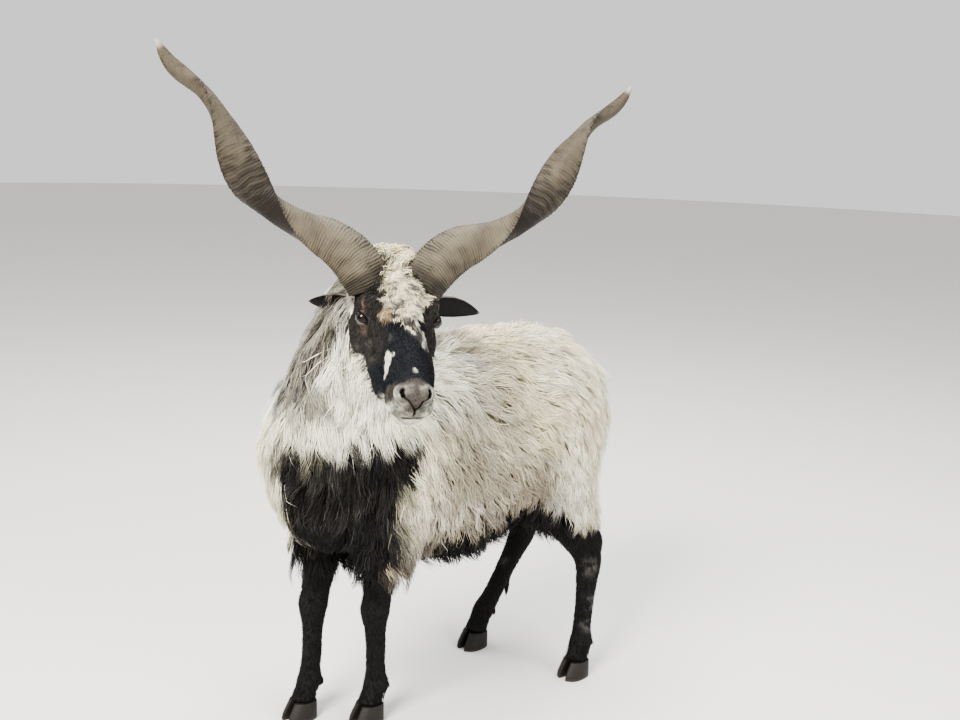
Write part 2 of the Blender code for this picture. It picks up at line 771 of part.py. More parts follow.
def tail_coat(point, normal):
    """Kind and lie of the wool at a point of the tail, which stays bare at its tip."""
    if point.z < 0.43:
        return None, None
    return "tail", Vector((point.x, 0.15, -1))


def poll_locks(tree):
    """The tuft between and behind the horns, in the head's local frame."""
    rng = random.Random(SEED + 3)
    kind = LOCKS["poll"]
    locks = []
    for row, ahead in enumerate((0.028, 0.010, -0.010)):
        for column in (-1, 0, 1):
            x = column * 0.016 + (row % 2) * 0.006
            root = tree.find_nearest(Vector((x, ahead, 0.05)))[0]
            way = Vector((column * 0.5, 0.9, 0.3))
            rings = lock_form(tree, root, way, kind, rng, kind.length * rng.uniform(0.8, 1.1))
            locks.append(tube("lock", rings))
    return locks


def finish(obj, colour, roughness=0.85):
    """Dresses a node in its own plain material and shades it smooth."""
    material = bpy.data.materials.new(obj.name + "_finish")
    material.use_nodes = True
    shader = material.node_tree.nodes["Principled BSDF"]
    shader.inputs["Base Color"].default_value = (*colour, 1)
    shader.inputs["Roughness"].default_value = roughness
    shader.inputs["Metallic"].default_value = 0
    material.diffuse_color = (*colour, 1)
    obj.data.materials.clear()
    obj.data.materials.append(material)
    obj.data.shade_smooth()
    obj.data.set_sharp_from_angle(angle=math.radians(48))


def stand_on_origin(nodes):
    """Moves the nodes' meshes so that the origin is the middle of their box, on the floor."""
    corners = [node.matrix_world @ vert.co for node in nodes for vert in node.data.vertices]
    middle_x = (min(spot.x for spot in corners) + max(spot.x for spot in corners)) / 2
    middle_y = (min(spot.y for spot in corners) + max(spot.y for spot in corners)) / 2
    for node in nodes:
        node.data.transform(Matrix.Translation((-middle_x, -middle_y, 0)))
    return Vector((-middle_x, -middle_y, 0))


def main():
    """Builds every node."""
    clear_scene()
    legs = [build_leg(name, stations) for name, stations in LEGS.items()]
    toward_torso = (NECK_FROM_TORSO[0], -NECK_FROM_TORSO[1])
    off_tail = (TAIL_FROM_TORSO[0], -TAIL_FROM_TORSO[1])

    rng = random.Random(SEED)
    torso = body_core()
    torso.name = "torso"
    body_locks = grow_locks(torso, body_coat, rng)
    boolean(torso, "UNION", body_locks)
    neck = copy_object(torso, "neck")
    tail = loft("tail", TAIL, sides=10, steps=2)
    boolean(tail, "UNION", grow_locks(tail, tail_coat, random.Random(SEED + 1)))

    leg_rooms = [block((-0.2, -0.34, 0.1), (0.2, -0.09, FORE_SEAM)),
                 block((-0.2, 0.12, 0.1), (0.2, 0.40, HIND_SEAM))]
    for cutter in [half_space(toward_torso, -1), half_space(TAIL_FROM_TORSO, 1)] + leg_rooms:
        boolean(torso, "DIFFERENCE", [cutter])
    for cutter in (half_space(toward_torso, 1), half_space(head_seam(), 1)):
        boolean(neck, "DIFFERENCE", [cutter])
    boolean(tail, "DIFFERENCE", [half_space(off_tail, 1)])
    thick_legs = [loft("room", stations, sides=10, steps=2, grow=GAP * 2) for stations in LEGS.values()]
    for room in thick_legs:
        boolean(room, "INTERSECT", [block((-1, -1, 0.1), (1, 1, 0.3725))])
    boolean(torso, "DIFFERENCE", thick_legs)
    ear_rooms = [ear("room", side, 4 * GAP) for side in ("left", "right")]
    for room in ear_rooms:
        room.data.transform(head_matrix())
    boolean(neck, "DIFFERENCE", ear_rooms)
    for node in (torso, neck, tail):
        keep_largest(node)

    head = build_head()
    local = []
    for hand, side in ((-1, "right"), (1, "left")):
        local.append((horn("horn_" + side, hand), (0.52, 0.45, 0.37), 0.6))
        local.append((ear("ear_" + side, side), (0.03, 0.028, 0.027), 0.9))
        local.append((eye("eye_" + side, hand), (0.06, 0.04, 0.02), 0.15))
    for obj, colour, roughness in local:
        obj.data.transform(head_matrix())
        finish(obj, colour, roughness)
    finish(head, (0.09, 0.085, 0.085))
    finish(torso, (0.80, 0.76, 0.69))
    finish(neck, (0.82, 0.80, 0.74))
    finish(tail, (0.78, 0.74, 0.68))
    for leg in legs:
        finish(leg, (0.035, 0.032, 0.031))
    for name, stations in LEGS.items():
        for claw in build_claws(name, stations):
            finish(claw, (0.05, 0.045, 0.04), 0.5)
    return stand_on_origin([obj for obj in bpy.data.objects if obj.type == "MESH"])


SHIFT = main()
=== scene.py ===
"""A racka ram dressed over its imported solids: skin, wool, head, horns, eyes, ears and claws.

The animal is built in its own frame: it faces -Y, its left side is +X and the floor is z = 0.
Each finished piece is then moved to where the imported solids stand.
"""

import logging
import math
from collections.abc import Callable, Sequence
from dataclasses import dataclass, field
from enum import Enum

import bpy
import numpy as np
from mathutils import Matrix, Vector
from mathutils.bvhtree import BVHTree
from mathutils.kdtree import KDTree


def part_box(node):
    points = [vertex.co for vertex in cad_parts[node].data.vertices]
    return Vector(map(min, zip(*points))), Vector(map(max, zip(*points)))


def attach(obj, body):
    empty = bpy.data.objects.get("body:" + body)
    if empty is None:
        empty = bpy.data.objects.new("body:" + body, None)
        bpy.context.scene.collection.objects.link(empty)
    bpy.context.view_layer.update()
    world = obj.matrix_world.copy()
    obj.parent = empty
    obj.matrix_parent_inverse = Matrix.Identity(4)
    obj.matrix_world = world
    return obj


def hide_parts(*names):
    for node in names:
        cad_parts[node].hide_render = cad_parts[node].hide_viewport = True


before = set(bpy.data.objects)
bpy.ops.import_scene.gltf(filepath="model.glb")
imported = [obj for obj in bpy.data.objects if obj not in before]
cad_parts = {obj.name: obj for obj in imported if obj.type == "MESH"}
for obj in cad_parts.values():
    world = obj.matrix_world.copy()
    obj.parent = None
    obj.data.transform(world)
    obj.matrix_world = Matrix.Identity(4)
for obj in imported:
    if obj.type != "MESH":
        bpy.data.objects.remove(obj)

log = logging.getLogger("racka_ram")
Array = np.ndarray
Triple = tuple[float, float, float]
Rows = tuple[tuple[float, ...], ...]
Thing = bpy.types.Object
Rule = Callable[[Array], Array]
PairRule = Callable[[Array, Array], Array]

# The head's place on the neck and how it is held
POLL = Vector((0.163, -0.261, 0.925))
HEAD_YAW = math.radians(61.0)
HEAD_PITCH = math.radians(32)
HEAD_ROLL = math.radians(3.8)
EYE_PLACE = Vector((0.0585, -0.090, -0.046))
# The seed of every random draw, the side of a tuft's patch on the unwrap, and a coat piece's limit
SEED = 11
PATCH = 0.003
MOST_TRIANGLES = 190000


class Side(Enum):
    """A side of the animal, and the sign of x there."""

    LEFT = 1
    RIGHT = -1

    @property
    def label(self) -> str:
        """The side's word in the names of pieces."""
        return self.name.lower()


class Coat(Enum):
    """Pieces that the coat is built in."""

    BACK = "coat_back"
    LEFT_FLANK = "coat_flank_left"
    RIGHT_FLANK = "coat_flank_right"
    RUMP = "coat_rump"
    BREAST = "coat_breast"
    RUFF = "coat_ruff"
    MANE = "coat_mane"
    BELLY = "coat_belly"


def head_matrix() -> Matrix:
    """The head's place and turn in the animal's frame."""
    turn = Matrix.Rotation(HEAD_YAW, 4, "Z") @ Matrix.Rotation(HEAD_PITCH, 4, "X")
    return Matrix.Translation(POLL) @ turn @ Matrix.Rotation(HEAD_ROLL, 4, "Y")


def eye_place(hand: int) -> Vector:
    """An eye's middle in the head's frame, by the sign of x on its side."""
    return Vector((EYE_PLACE.x * hand, EYE_PLACE.y, EYE_PLACE.z))


def packed_shift() -> Vector:
    """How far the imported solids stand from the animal's own frame."""
    low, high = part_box("eye_left")
    return (Vector(low) + Vector(high)) / 2 - head_matrix() @ EYE_PLACE


def carried(points: Array, matrix: Matrix) -> Array:
    """Points taken through a matrix.

    Args:
        points: Rows of x, y, z.
        matrix: A 4 by 4 transform.

    Returns:
        The moved rows.
    """
    table = np.array(matrix)
    return points @ table[:3, :3].T + table[:3, 3]


def in_head(points: Array) -> Array:
    """Points of the animal's frame in the head's own frame."""
    return carried(points, head_matrix().inverted())


def neck_middle(z: Array) -> Array:
    """How far to the left the neck's middle lies at each height."""
    return np.interp(z, (0.56, 0.66, 0.75, 0.83, 0.884), (0.0, 0.012, 0.044, 0.084, 0.123))


def unit(rows: Array) -> Array:
    """Rows scaled to length 1."""
    return rows / np.maximum(np.linalg.norm(rows, axis=-1, keepdims=True), 1e-12)


def distance(points: Array, centre: Sequence[float]) -> Array:
    """How far points are from one place."""
    return np.linalg.norm(points - np.array(centre), axis=1)


def columns(*parts: Array | float) -> Array:
    """Rows made of columns; a single number fills its column."""
    return np.stack(np.broadcast_arrays(*parts), axis=1)


def rise(low: float, high: float, value: Array) -> Array:
    """A smooth step from 0 at low to 1 at high.

    Args:
        low: Where the step starts.
        high: Where it ends; it may be below low.
        value: Where it is read.

    Returns:
        Shares from 0 to 1.
    """
    t = np.clip((value - low) / (high - low), 0.0, 1.0)
    return t * t * (3 - 2 * t)


def ripple(points: Array, size: float, seed: int, waves: int = 14) -> Array:
    """Smooth noise, mostly between -1 and 1.

    Args:
        points: Rows of x, y, z.
        size: The width of its blotches in metres.
        seed: Which noise.
        waves: How many plane waves make it up.

    Returns:
        One number a row.
    """
    draw = np.random.default_rng(seed)
    ways = unit(draw.normal(size=(waves, 3))) * draw.uniform(0.6, 1.5, (waves, 1))
    phases = draw.uniform(0, 2 * math.pi, waves)
    return np.sin(points @ ways.T * (math.pi / size) + phases).sum(axis=1) / math.sqrt(waves)


def dense_rows(rows: Rows, steps: int = 8) -> Array:
    """Rows of numbers made denser along a Catmull-Rom curve.

    Args:
        rows: The table to smooth.
        steps: New rows for each old one.

    Returns:
        The denser table.
    """
    table = np.array(rows)
    last = len(table) - 1
    made = []
    for i in range(last):
        a, b, c, d = table[max(i - 1, 0)], table[i], table[i + 1], table[min(i + 2, last)]
        for t in np.arange(steps) / steps:
            bend = (2 * a - 5 * b + 4 * c - d) * t**2 + (3 * b - a - 3 * c + d) * t**3
            made.append(0.5 * (2 * b + (c - a) * t + bend))
    made.append(table[-1])
    return np.array(made)


def read_rows(table: Array, share: Array) -> Array:
    """Rows of an evenly spaced table read between its lines.

    Args:
        table: The table, its rows evenly spaced from 0 to 1.
        share: Where to read, from 0 to 1.

    Returns:
        One row for each share.
    """
    at = np.clip(share, 0, 1) * (len(table) - 1)
    low = np.minimum(at.astype(int), len(table) - 2)
    part = (at - low)[:, None]
    return table[low] * (1 - part) + table[low + 1] * part


def swirl(points: Array, size: float, seed: int) -> Array:
    """Smooth random ways, from three noises with seeds in a row."""
    return columns(*(ripple(points, size, seed + i) for i in range(3)))


def mixed(tone: Array, colour: Triple | Array, share: Array) -> Array:
    """A tone with a share of a colour laid over it."""
    return tone + (np.array(colour) - tone) * share[:, None]


def tree_of(points: Sequence[Vector] | Array) -> KDTree:
    """A search tree of points, numbered in their order."""
    tree = KDTree(len(points))
    for i, spot in enumerate(points):
        tree.insert(spot, i)
    tree.balance()
    return tree


def deselect() -> None:
    """Leaves nothing selected, in object mode."""
    if bpy.context.object and bpy.context.object.mode != "OBJECT":
        bpy.ops.object.mode_set(mode="OBJECT")
    bpy.ops.object.select_all(action="DESELECT")


def select(objects: Sequence[Thing]) -> None:
    """Selects only these objects, with the first one active."""
    deselect()
    for obj in objects:
        obj.select_set(True)
    bpy.context.view_layer.objects.active = objects[0]


def mesh_rows(mesh: bpy.types.Mesh, kind: str = "co") -> Array:
    """A mesh's points, or the normals there, as rows."""
    flat = np.empty(len(mesh.vertices) * 3, np.float32)
    mesh.vertices.foreach_get(kind, flat)
    return flat.reshape(-1, 3).astype(float)


def set_points(mesh: bpy.types.Mesh, points: Array) -> None:
    """Gives a mesh new points."""
    mesh.vertices.foreach_set("co", points.astype(np.float32).ravel())
    mesh.update()


def set_tone(mesh: bpy.types.Mesh, tone: Array) -> None:
    """Keeps a colour at each point in the attribute that the finishes read."""
    layer = mesh.color_attributes.new(name="tone", type="FLOAT_COLOR", domain="POINT")
    rows = np.concatenate([np.clip(tone, 0, 1), np.ones((len(tone), 1))], axis=1)
    layer.data.foreach_set("color", rows.astype(np.float32).ravel())


def rolled(name: str, place: PairRule, sides: int, rings: int) -> Thing:
    """A closed tube: a grid is added, rolled up by a rule, and its seam and ends are closed.

    Args:
        name: The piece's name.
        place: Takes shares round and along the tube and gives points.
        sides: Faces round the tube.
        rings: Faces along the tube.

    Returns:
        The tube.
    """
    deselect()
    bpy.ops.mesh.primitive_grid_add(x_subdivisions=sides, y_subdivisions=rings, size=1)
    tube = bpy.context.object
    tube.name = name
    flat = mesh_rows(tube.data)
    set_points(tube.data, place(flat[:, 0] + 0.5, flat[:, 1] + 0.5))
    bpy.ops.object.mode_set(mode="EDIT")
    bpy.ops.mesh.select_all(action="SELECT")
    bpy.ops.mesh.remove_doubles(threshold=1e-6)
    bpy.ops.mesh.select_all(action="SELECT")
    bpy.ops.mesh.fill_holes(sides=0)
    bpy.ops.mesh.select_all(action="SELECT")
    bpy.ops.mesh.normals_make_consistent(inside=False)
    bpy.ops.object.mode_set(mode="OBJECT")
    return tube


def ball(name: str, centre: Triple, radii: Triple, turn: Triple = (0, 0, 0)) -> Thing:
    """A sphere added at its place, then drawn out to three radii.

    Args:
        name: The piece's name.
        centre: Its middle.
        radii: Its three half widths.
        turn: Its turn as Euler angles.

    Returns:
        The ball, with its place in its mesh.
    """
    deselect()
    bpy.ops.mesh.primitive_uv_sphere_add(segments=24, ring_count=16, radius=1, location=centre)
    made = bpy.context.object
    made.name = name
    made.scale = radii
    made.rotation_euler = turn
    bpy.ops.object.transform_apply(location=True, rotation=True, scale=True)
    return made


def fused(name: str, forms: Sequence[Thing], voxel: float, smooth: int) -> Thing:
    """Forms joined into one smooth closed skin.

    Args:
        name: The skin's name.
        forms: Closed forms that overlap.
        voxel: The size of its faces.
        smooth: How often it is smoothed.

    Returns:
        The skin.
    """
    select(forms)
    bpy.ops.object.join()
    skin = bpy.context.object
    skin.name = name
    remesh = skin.modifiers.new("skin", "REMESH")
    remesh.mode = "VOXEL"
    remesh.voxel_size = voxel
    bpy.ops.object.modifier_apply(modifier=remesh.name)
    relax = skin.modifiers.new("relax", "SMOOTH")
    relax.factor = 0.6
    relax.iterations = smooth
    bpy.ops.object.modifier_apply(modifier=relax.name)
    return skin


@dataclass(frozen=True)
class Loft:
    """A tube of oval sections along a curve."""

    name: str
    stations: Rows
    side: Triple = (1, 0, 0)
    sides: int = 28
    rings: int = 48

    def place(self, u: Array, v: Array) -> Array:
        """Points of the tube's surface.

        Args:
            u: Shares round the tube.
            v: Shares along it.

        Returns:
            Rows of x, y, z.
        """
        table = dense_rows(self.stations)
        row = read_rows(table, v)
        along = unit(read_rows(np.gradient(table[:, :3], axis=0), v))
        side = np.array(self.side, float)
        across = unit(side - along * (along @ side)[:, None])
        depth = np.cross(along, across)
        angle = 2 * math.pi * (u % 1.0)
        out = across * (np.cos(angle) * row[:, 3])[:, None]
        return row[:, :3] + out + depth * (np.sin(angle) * row[:, 4])[:, None]

    def build(self) -> Thing:
        """The tube as a closed piece."""
        return rolled(self.name, self.place, self.sides, self.rings)


def fill(node: bpy.types.Node, values: dict[str, float | tuple[float, ...]]) -> bpy.types.Node:
    """A shader node with values set on its own sockets."""
    for socket, value in values.items():
        node.inputs[socket].default_value = value
    return node


@dataclass(frozen=True)
class Finish:
    """A plain finish: a colour, from the tone attribute where there is one, with fine relief."""

    name: str
    slot: str
    roughness: float
    colour: Triple = (0.5, 0.5, 0.5)
    reads_tone: bool = True
    specular: float = 0.3
    sheen: float = 0.0
    coat: float = 0.0
    grain: Triple = (60, 60, 60)
    grain_depth: float = 0.0
    grain_tint: float = 0.0

    def material(self) -> bpy.types.Material:
        """The finish as a material, made once."""
        known = bpy.data.materials.get(self.name)
        if known:
            return known
        made = bpy.data.materials.new(self.name)
        made.use_nodes = True
        nodes, links = made.node_tree.nodes, made.node_tree.links
        shader = fill(nodes["Principled BSDF"], {
            "Roughness": self.roughness, "Specular IOR Level": self.specular,
            "Sheen Weight": self.sheen, "Sheen Roughness": 0.5, "Coat Weight": self.coat,
            "Coat Roughness": 0.03, "Base Color": (*self.colour, 1)})
        made.diffuse_color = (*self.colour, 1)
        if self.grain_depth or self.grain_tint:
            place = nodes.new("ShaderNodeTexCoord")
            stretch = fill(nodes.new("ShaderNodeMapping"), {"Scale": self.grain})
            noise = fill(nodes.new("ShaderNodeTexNoise"), {"Scale": 10, "Detail": 4})
            links.new(place.outputs["Object"], stretch.inputs["Vector"])
            links.new(stretch.outputs["Vector"], noise.inputs["Vector"])
        if self.grain_depth:
            bump = nodes.new("ShaderNodeBump")
            fill(bump, {"Strength": 0.6, "Distance": self.grain_depth})
            links.new(noise.outputs["Fac"], bump.inputs["Height"])
            links.new(bump.outputs["Normal"], shader.inputs["Normal"])
        source = None
        if self.reads_tone:
            tone = nodes.new("ShaderNodeAttribute")
            tone.attribute_name = "tone"
            source = tone.outputs["Color"]
        if self.grain_tint:
            span = nodes.new("ShaderNodeMapRange")
            fill(span, {"To Min": 1 - self.grain_tint, "To Max": 1 + self.grain_tint})
            links.new(noise.outputs["Fac"], span.inputs["Value"])
            tint = nodes.new("ShaderNodeMix")
            tint.data_type = "RGBA"
            tint.blend_type = "MULTIPLY"
            fill(tint, {"Factor": 1, "A": (*self.colour, 1)})
            if source:
                links.new(source, tint.inputs["A"])
            links.new(span.outputs["Result"], tint.inputs["B"])
            source = tint.outputs["Result"]
        if source:
            links.new(source, shader.inputs["Base Color"])
        return made


WOOL = Finish("wool", "body_wool", 0.85, specular=0.05, sheen=0.03, grain_tint=0.08)
SKIN = Finish("short_hair_skin", "body_wool", 0.8, specular=0.10, grain=(110, 110, 110),
              grain_depth=0.0012, grain_tint=0.16)
FACE_HAIR = Finish("face_hair", "face_coat", 0.65, specular=0.12, grain_tint=0.12)
LEG_HAIR = Finish("leg_hair", "leg_coat", 0.55, specular=0.14, grain_tint=0.12)
EAR_HAIR = Finish("ear_hair", "ear_skin", 0.6, specular=0.12, grain=(90, 90, 90), grain_depth=0.0008,
                  grain_tint=0.15)
EYE = Finish("wet_eye", "eye_gloss", 0.10, specular=0.22, coat=0.10)
HORN = Finish("ringed_sheath", "horn_sheath", 0.55, specular=0.18, grain=(45, 45, 45), grain_depth=0.0006,
              grain_tint=0.25)
CLAW = Finish("claw_horn", "hoof_horn", 0.5, specular=0.22, grain=(40, 40, 160), grain_depth=0.0006,
              grain_tint=0.3)


def dress(piece: Thing, finish: Finish, *nodes: str) -> Thing:
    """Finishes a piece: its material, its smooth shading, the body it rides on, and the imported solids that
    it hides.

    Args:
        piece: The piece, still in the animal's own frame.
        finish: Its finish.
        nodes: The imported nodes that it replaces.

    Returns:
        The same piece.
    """
    piece.data.transform(Matrix.Translation(packed_shift()))
    piece.data.materials.clear()
    piece.data.materials.append(finish.material())
    piece.data.polygons.foreach_set("use_smooth", np.ones(len(piece.data.polygons), bool))
    piece.data.update()
    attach(piece, "root")
    if nodes:
        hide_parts(*nodes)
    log.info("%s: %d faces", piece.name, len(piece.data.polygons))
    return piece


@dataclass(frozen=True)
class Markings:
    """Colours of the coat as functions of place, in linear light.

    An edge is a table of places and of where the edge lies there. A row of a patch table is the
    patch's middle and radius, then its strength.
    """

    cream: Triple = (0.84, 0.770, 0.560)
    white: Triple = (0.94, 0.918, 0.765)
    beige: Triple = (0.40, 0.345, 0.265)
    brown: Triple = (0.105, 0.080, 0.065)
    mantle: Triple = (0.082, 0.071, 0.062)
    black: Triple = (0.0125, 0.0115, 0.0112)
    charcoal: Triple = (0.0150, 0.0165, 0.0195)
    umber: Triple = (0.034, 0.0310, 0.0285)
    grey: Triple = (0.140, 0.128, 0.116)
    pink: Triple = (0.20, 0.135, 0.108)
    pad: Triple = (0.082, 0.073, 0.061)
    gold: Triple = (0.36, 0.25, 0.14)
    brow_right: Rows = (
        (-0.160, -0.151, -0.141, -0.125, -0.106, -0.090, -0.079, -0.050),
        (0.037, 0.032, 0.028, 0.0265, 0.027, 0.036, 0.0475, 0.052))
    brow_low: Rows = (
        (-0.034, -0.0226, -0.010, -0.003, 0.004, 0.012, 0.021, 0.036),
        (-0.122, -0.130, -0.128, -0.140, -0.150, -0.160, -0.164, -0.162))
    jaw_edge: Rows = (
        (-0.255, -0.236, -0.220, -0.2138, -0.1995, -0.189, -0.168, -0.152, -0.133, -0.114, -0.09, -0.05),
        (-0.076, -0.090, -0.106, -0.1007, -0.095, -0.092, -0.090, -0.0875, -0.090, -0.104, -0.115, -0.130))
    black_edge: Rows = (
        (-0.16, -0.13, 0.15, 0.17, 0.19, 0.21, 0.24, 0.27, 0.40),
        (0.385, 0.436, 0.440, 0.430, 0.415, 0.400, 0.375, 0.378, 0.385))
    beige_patches: Rows = (
        (0.050, -0.090, 0.745, 0.080, 0.75), (0.115, -0.085, 0.690, 0.090, 0.75),
        (0.140, 0.020, 0.665, 0.110, 0.22), (0.150, -0.010, 0.500, 0.110, 0.75),
        (0.135, 0.085, 0.450, 0.090, 0.80), (0.145, -0.090, 0.520, 0.080, 0.60),
        (-0.120, -0.020, 0.640, 0.130, 0.65), (-0.130, 0.090, 0.470, 0.120, 0.75),
        (0.030, 0.160, 0.760, 0.080, 0.12), (0.120, 0.280, 0.580, 0.090, 0.22))
    grey_patches: Rows = (
        (0.150, 0.290, 0.240, 0.022), (0.150, 0.300, 0.160, 0.016),
        (0.145, 0.290, 0.110, 0.014), (-0.075, 0.250, 0.200, 0.016))
    muzzle_patches: Rows = (
        (0.0300, -0.266, -0.043, 0.011, 0.75), (0.0260, -0.274, -0.060, 0.013, 0.65),
        (0.0330, -0.266, -0.074, 0.009, 0.90), (0.0220, -0.280, -0.079, 0.010, 0.90),
        (0.0130, -0.262, -0.033, 0.009, 0.30), (0.0100, -0.284, -0.076, 0.012, 0.55))

    @staticmethod
    def near(points: Array, centre: Triple, reach: float, soft: float = 0.5) -> Array:
        """How much a point belongs to a round patch.

        Args:
            points: Rows of x, y, z.
            centre: The patch's middle.
            reach: Its radius.
            soft: The share of the radius over which it fades.

        Returns:
            Shares from 0 to 1.
        """
        away = distance(points, centre) / reach
        return rise(1 + soft / 2, 1 - soft / 2, away)

    @staticmethod
    def edge(table: Rows, at: Array) -> Array:
        """A boundary read from its table: places, and where the boundary lies there."""
        return np.interp(at, *table)

    def body(self, points: Array) -> Array:
        """Colour of the wool and hair of the trunk, neck, tail and legs.

        Args:
            points: Rows of x, y, z in the animal's frame.

        Returns:
            Rows of red, green and blue.
        """
        x, y, z = points.T
        wander = ripple(points, 0.045, 3)
        speck = ripple(points, 0.012, 4)
        broad = ripple(points, 0.13, 5)
        tone = np.tile(self.cream, (len(points), 1)).astype(float)
        tone = mixed(tone, self.white, np.clip(0.36 + 0.35 * broad, 0, 1))
        flank = rise(0.60, 0.44, z + 0.03 * wander) * rise(-0.28, -0.10, y)
        tone = mixed(tone, self.beige, 0.34 * flank * rise(-0.9, 0.9, wander + 0.5 * speck))
        for *centre, reach, depth in self.beige_patches:
            share = self.near(points, centre, reach, 1.2) * depth
            tone = mixed(tone, self.beige, np.clip(share * (1 + 0.55 * speck + 0.4 * wander), 0, 1))
        edge = z - self.edge(self.black_edge, y)
        tone = mixed(tone, self.brown, 0.45 * rise(0.035, 0.005, edge + 0.02 * wander))
        armpit = 0.060 * rise(-0.03, -0.07, x) * rise(-0.09, -0.14, y)
        low = rise(0.010, -0.010, edge - armpit + 0.010 * wander)
        rights = (-0.104, -0.090, -0.080, -0.069, -0.061, -0.054)
        right = np.interp(z, (0.36, 0.42, 0.47, 0.52, 0.57, 0.62), rights)
        beside = 0.682 * x + 0.731 * y - right + 0.006 * wander
        elbow = rise(-0.008, 0.008, beside) * rise(0.03, 0.05, x)
        elbow = elbow * rise(-0.08, -0.11, y) * rise(0.335, 0.355, z)
        tone = mixed(tone, self.black, low * (1 - elbow))
        # Brown beside the left foreleg: partly the wool's own brown and partly painted shade where the leg
        # meets the body
        by_leg = elbow * np.maximum(rise(0.475, 0.405, z), rise(0.040, 0.005, beside) * rise(0.52, 0.45, z))
        tone = mixed(tone, self.brown, by_leg * (0.8 + 0.2 * np.clip(speck, -1, 1)))
        around = np.degrees(np.arctan2(x, -(y + 0.15)))
        left = np.interp(z, (0.36, 0.42, 0.48), (-34, -16, 1))
        bib = rise(0.670, 0.650, z + 0.012 * wander) * rise(-5, 5, around - left + 4 * wander)
        bib *= rise(0.008, -0.008, beside) * rise(-0.10, -0.16, y)
        tone = mixed(tone, self.black, bib)
        streaks = rise(-0.2, 1.4, speck + 0.6 * wander) * rise(0.40, 0.54, z)
        tone = mixed(tone, self.grey, bib * 0.20 * streaks)
        for *centre, reach in self.grey_patches:
            share = self.near(points, centre, reach, 1.0) * (0.4 + 0.5 * speck)
            tone = mixed(tone, self.grey, np.clip(share, 0, 0.7))
        return self.neck(points, tone)

    def neck(self, points: Array, tone: Array) -> Array:
        """The grey mantle and the white band of the neck laid over the body's colours."""
        x, y, z = points.T
        wander = ripple(points, 0.035, 6)
        speck = ripple(points, 0.010, 7)
        around = np.degrees(np.arctan2(x - neck_middle(z), -(y + 0.245)))
        high = rise(0.645, 0.685, z + 0.010 * wander) * rise(-0.02, -0.12, y)
        tone = mixed(tone, self.white, high)
        limit = np.interp(z, (0.70, 0.742, 0.787, 0.83, 0.87), (16, 16, 17, 14, 30))
        side = rise(limit + 6, limit - 6, around + 6 * wander)
        side = side * rise(0.675, 0.735, z + 0.015 * wander) * rise(-0.02, -0.14, y)
        tone = mixed(tone, self.mantle, side * np.clip(0.85 + 0.35 * speck, 0, 1))
        tuft = self.near(points, (0.045, -0.262, 0.905), 0.040, 0.6)
        return mixed(tone, self.white, tuft)

    def head(self, points: Array) -> Array:
        """Colour of the head, ears and poll.

        Args:
            points: Rows of x, y, z in the head's own frame.

        Returns:
            Rows of red, green and blue.
        """
        x, y, z = points.T
        wander = ripple(points, 0.016, 8)
        speck = ripple(points, 0.0055, 9)
        fleck = np.clip(0.5 + 0.5 * speck, 0, 1)
        tone = np.tile(self.charcoal, (len(points), 1)).astype(float)
        side = rise(0.024, 0.040, np.abs(x) + 0.003 * wander) * rise(-0.185, -0.15, y)
        tone = mixed(tone, self.umber, side)
        tone = mixed(tone, self.grey, side * rise(0.7, 1.6, wander) * 0.35)
        streak = self.near(points, (-0.0555, -0.128, -0.068), 0.009, 1.2)
        tone = mixed(tone, self.grey, streak * 0.5)
        limit = self.edge(self.brow_right, y) + 0.0040 * wander + 0.0020 * speck
        low = self.edge(self.brow_low, x) + 0.005 * wander
        brow = rise(-0.037, -0.028, x + 0.006 * wander + 0.003 * speck) * rise(0.003, -0.003, x - limit)
        brow *= rise(-0.004, 0.004, y - low) * rise(-0.060, -0.040, z)
        solid = rise(-0.130, -0.105, y + 0.008 * wander)
        stripe = rise(0.0052, 0.0028, np.abs(x - limit + 0.0038)) * rise(-0.10, -0.12, y)
        tone = mixed(tone, self.grey, brow * (0.35 + 0.65 * solid))
        light = brow * np.clip(solid * rise(-1.1, 0.5, speck + 0.5 * wander) + rise(0.2, 1.0, speck), 0, 1)
        tone = mixed(tone, self.cream, np.clip(light, 0, 1) * 0.92)
        tone = mixed(tone, self.white, brow * stripe * (0.22 + 0.60 * fleck))
        gold = self.near(points, (-0.0265, -0.112, -0.013), 0.013, 1.0)
        tone = mixed(tone, self.gold, gold * rise(-0.8, 0.4, wander) * 0.8)
        first, last = np.array((-0.0300, -0.183, -0.043)), np.array((-0.0345, -0.198, -0.052))
        along = np.clip((points - first) @ (last - first) / ((last - first) @ (last - first)), 0, 1)
        away = np.linalg.norm(points - first - along[:, None] * (last - first), axis=1)
        blaze = rise(0.0108, 0.0068, away + 0.0022 * speck + 0.0012 * wander)
        tail = self.near(points, (-0.0362, -0.2085, -0.0625), 0.0042, 0.8) * fleck
        spot = self.near(points, (0.0040, -0.2260, -0.0300), 0.0048, 0.8) * fleck * 0.7
        tone = mixed(tone, self.white, np.clip(blaze * (0.70 + 0.3 * fleck) + tail + spot, 0, 1))
        start = np.interp(z, (-0.073, -0.060, -0.0475, -0.038), (-0.2335, -0.2335, -0.241, -0.247))
        muzzle = rise(0.004, -0.004, y - start + 0.002 * wander + 0.0015 * speck)
        tone = mixed(tone, self.pad, muzzle * (0.72 + 0.28 * fleck))
        pale = np.zeros(len(points))
        mirrored = columns(np.abs(x - 0.002), y, z)
        for *centre, reach, depth in self.muzzle_patches:
            pale = np.maximum(pale, self.near(mirrored, centre, reach, 1.1) * depth)
        tone = mixed(tone, self.white, muzzle * pale * (0.16 + 0.40 * fleck))
        # Painted shade: a darker spot where the skin folds at each side of the mouth
        mouth_fold_shade = self.near(columns(np.abs(x), y, z), (0.0345, -0.250, -0.0573), 0.0095, 1.0)
        tone = mixed(tone, self.umber, mouth_fold_shade * 0.75)
        jaw = rise(0.003, -0.004, z - self.edge(self.jaw_edge, y) + 0.002 * wander + 0.001 * speck)
        tone = mixed(tone, self.white, jaw * rise(-0.275, -0.262, y) * 0.95)
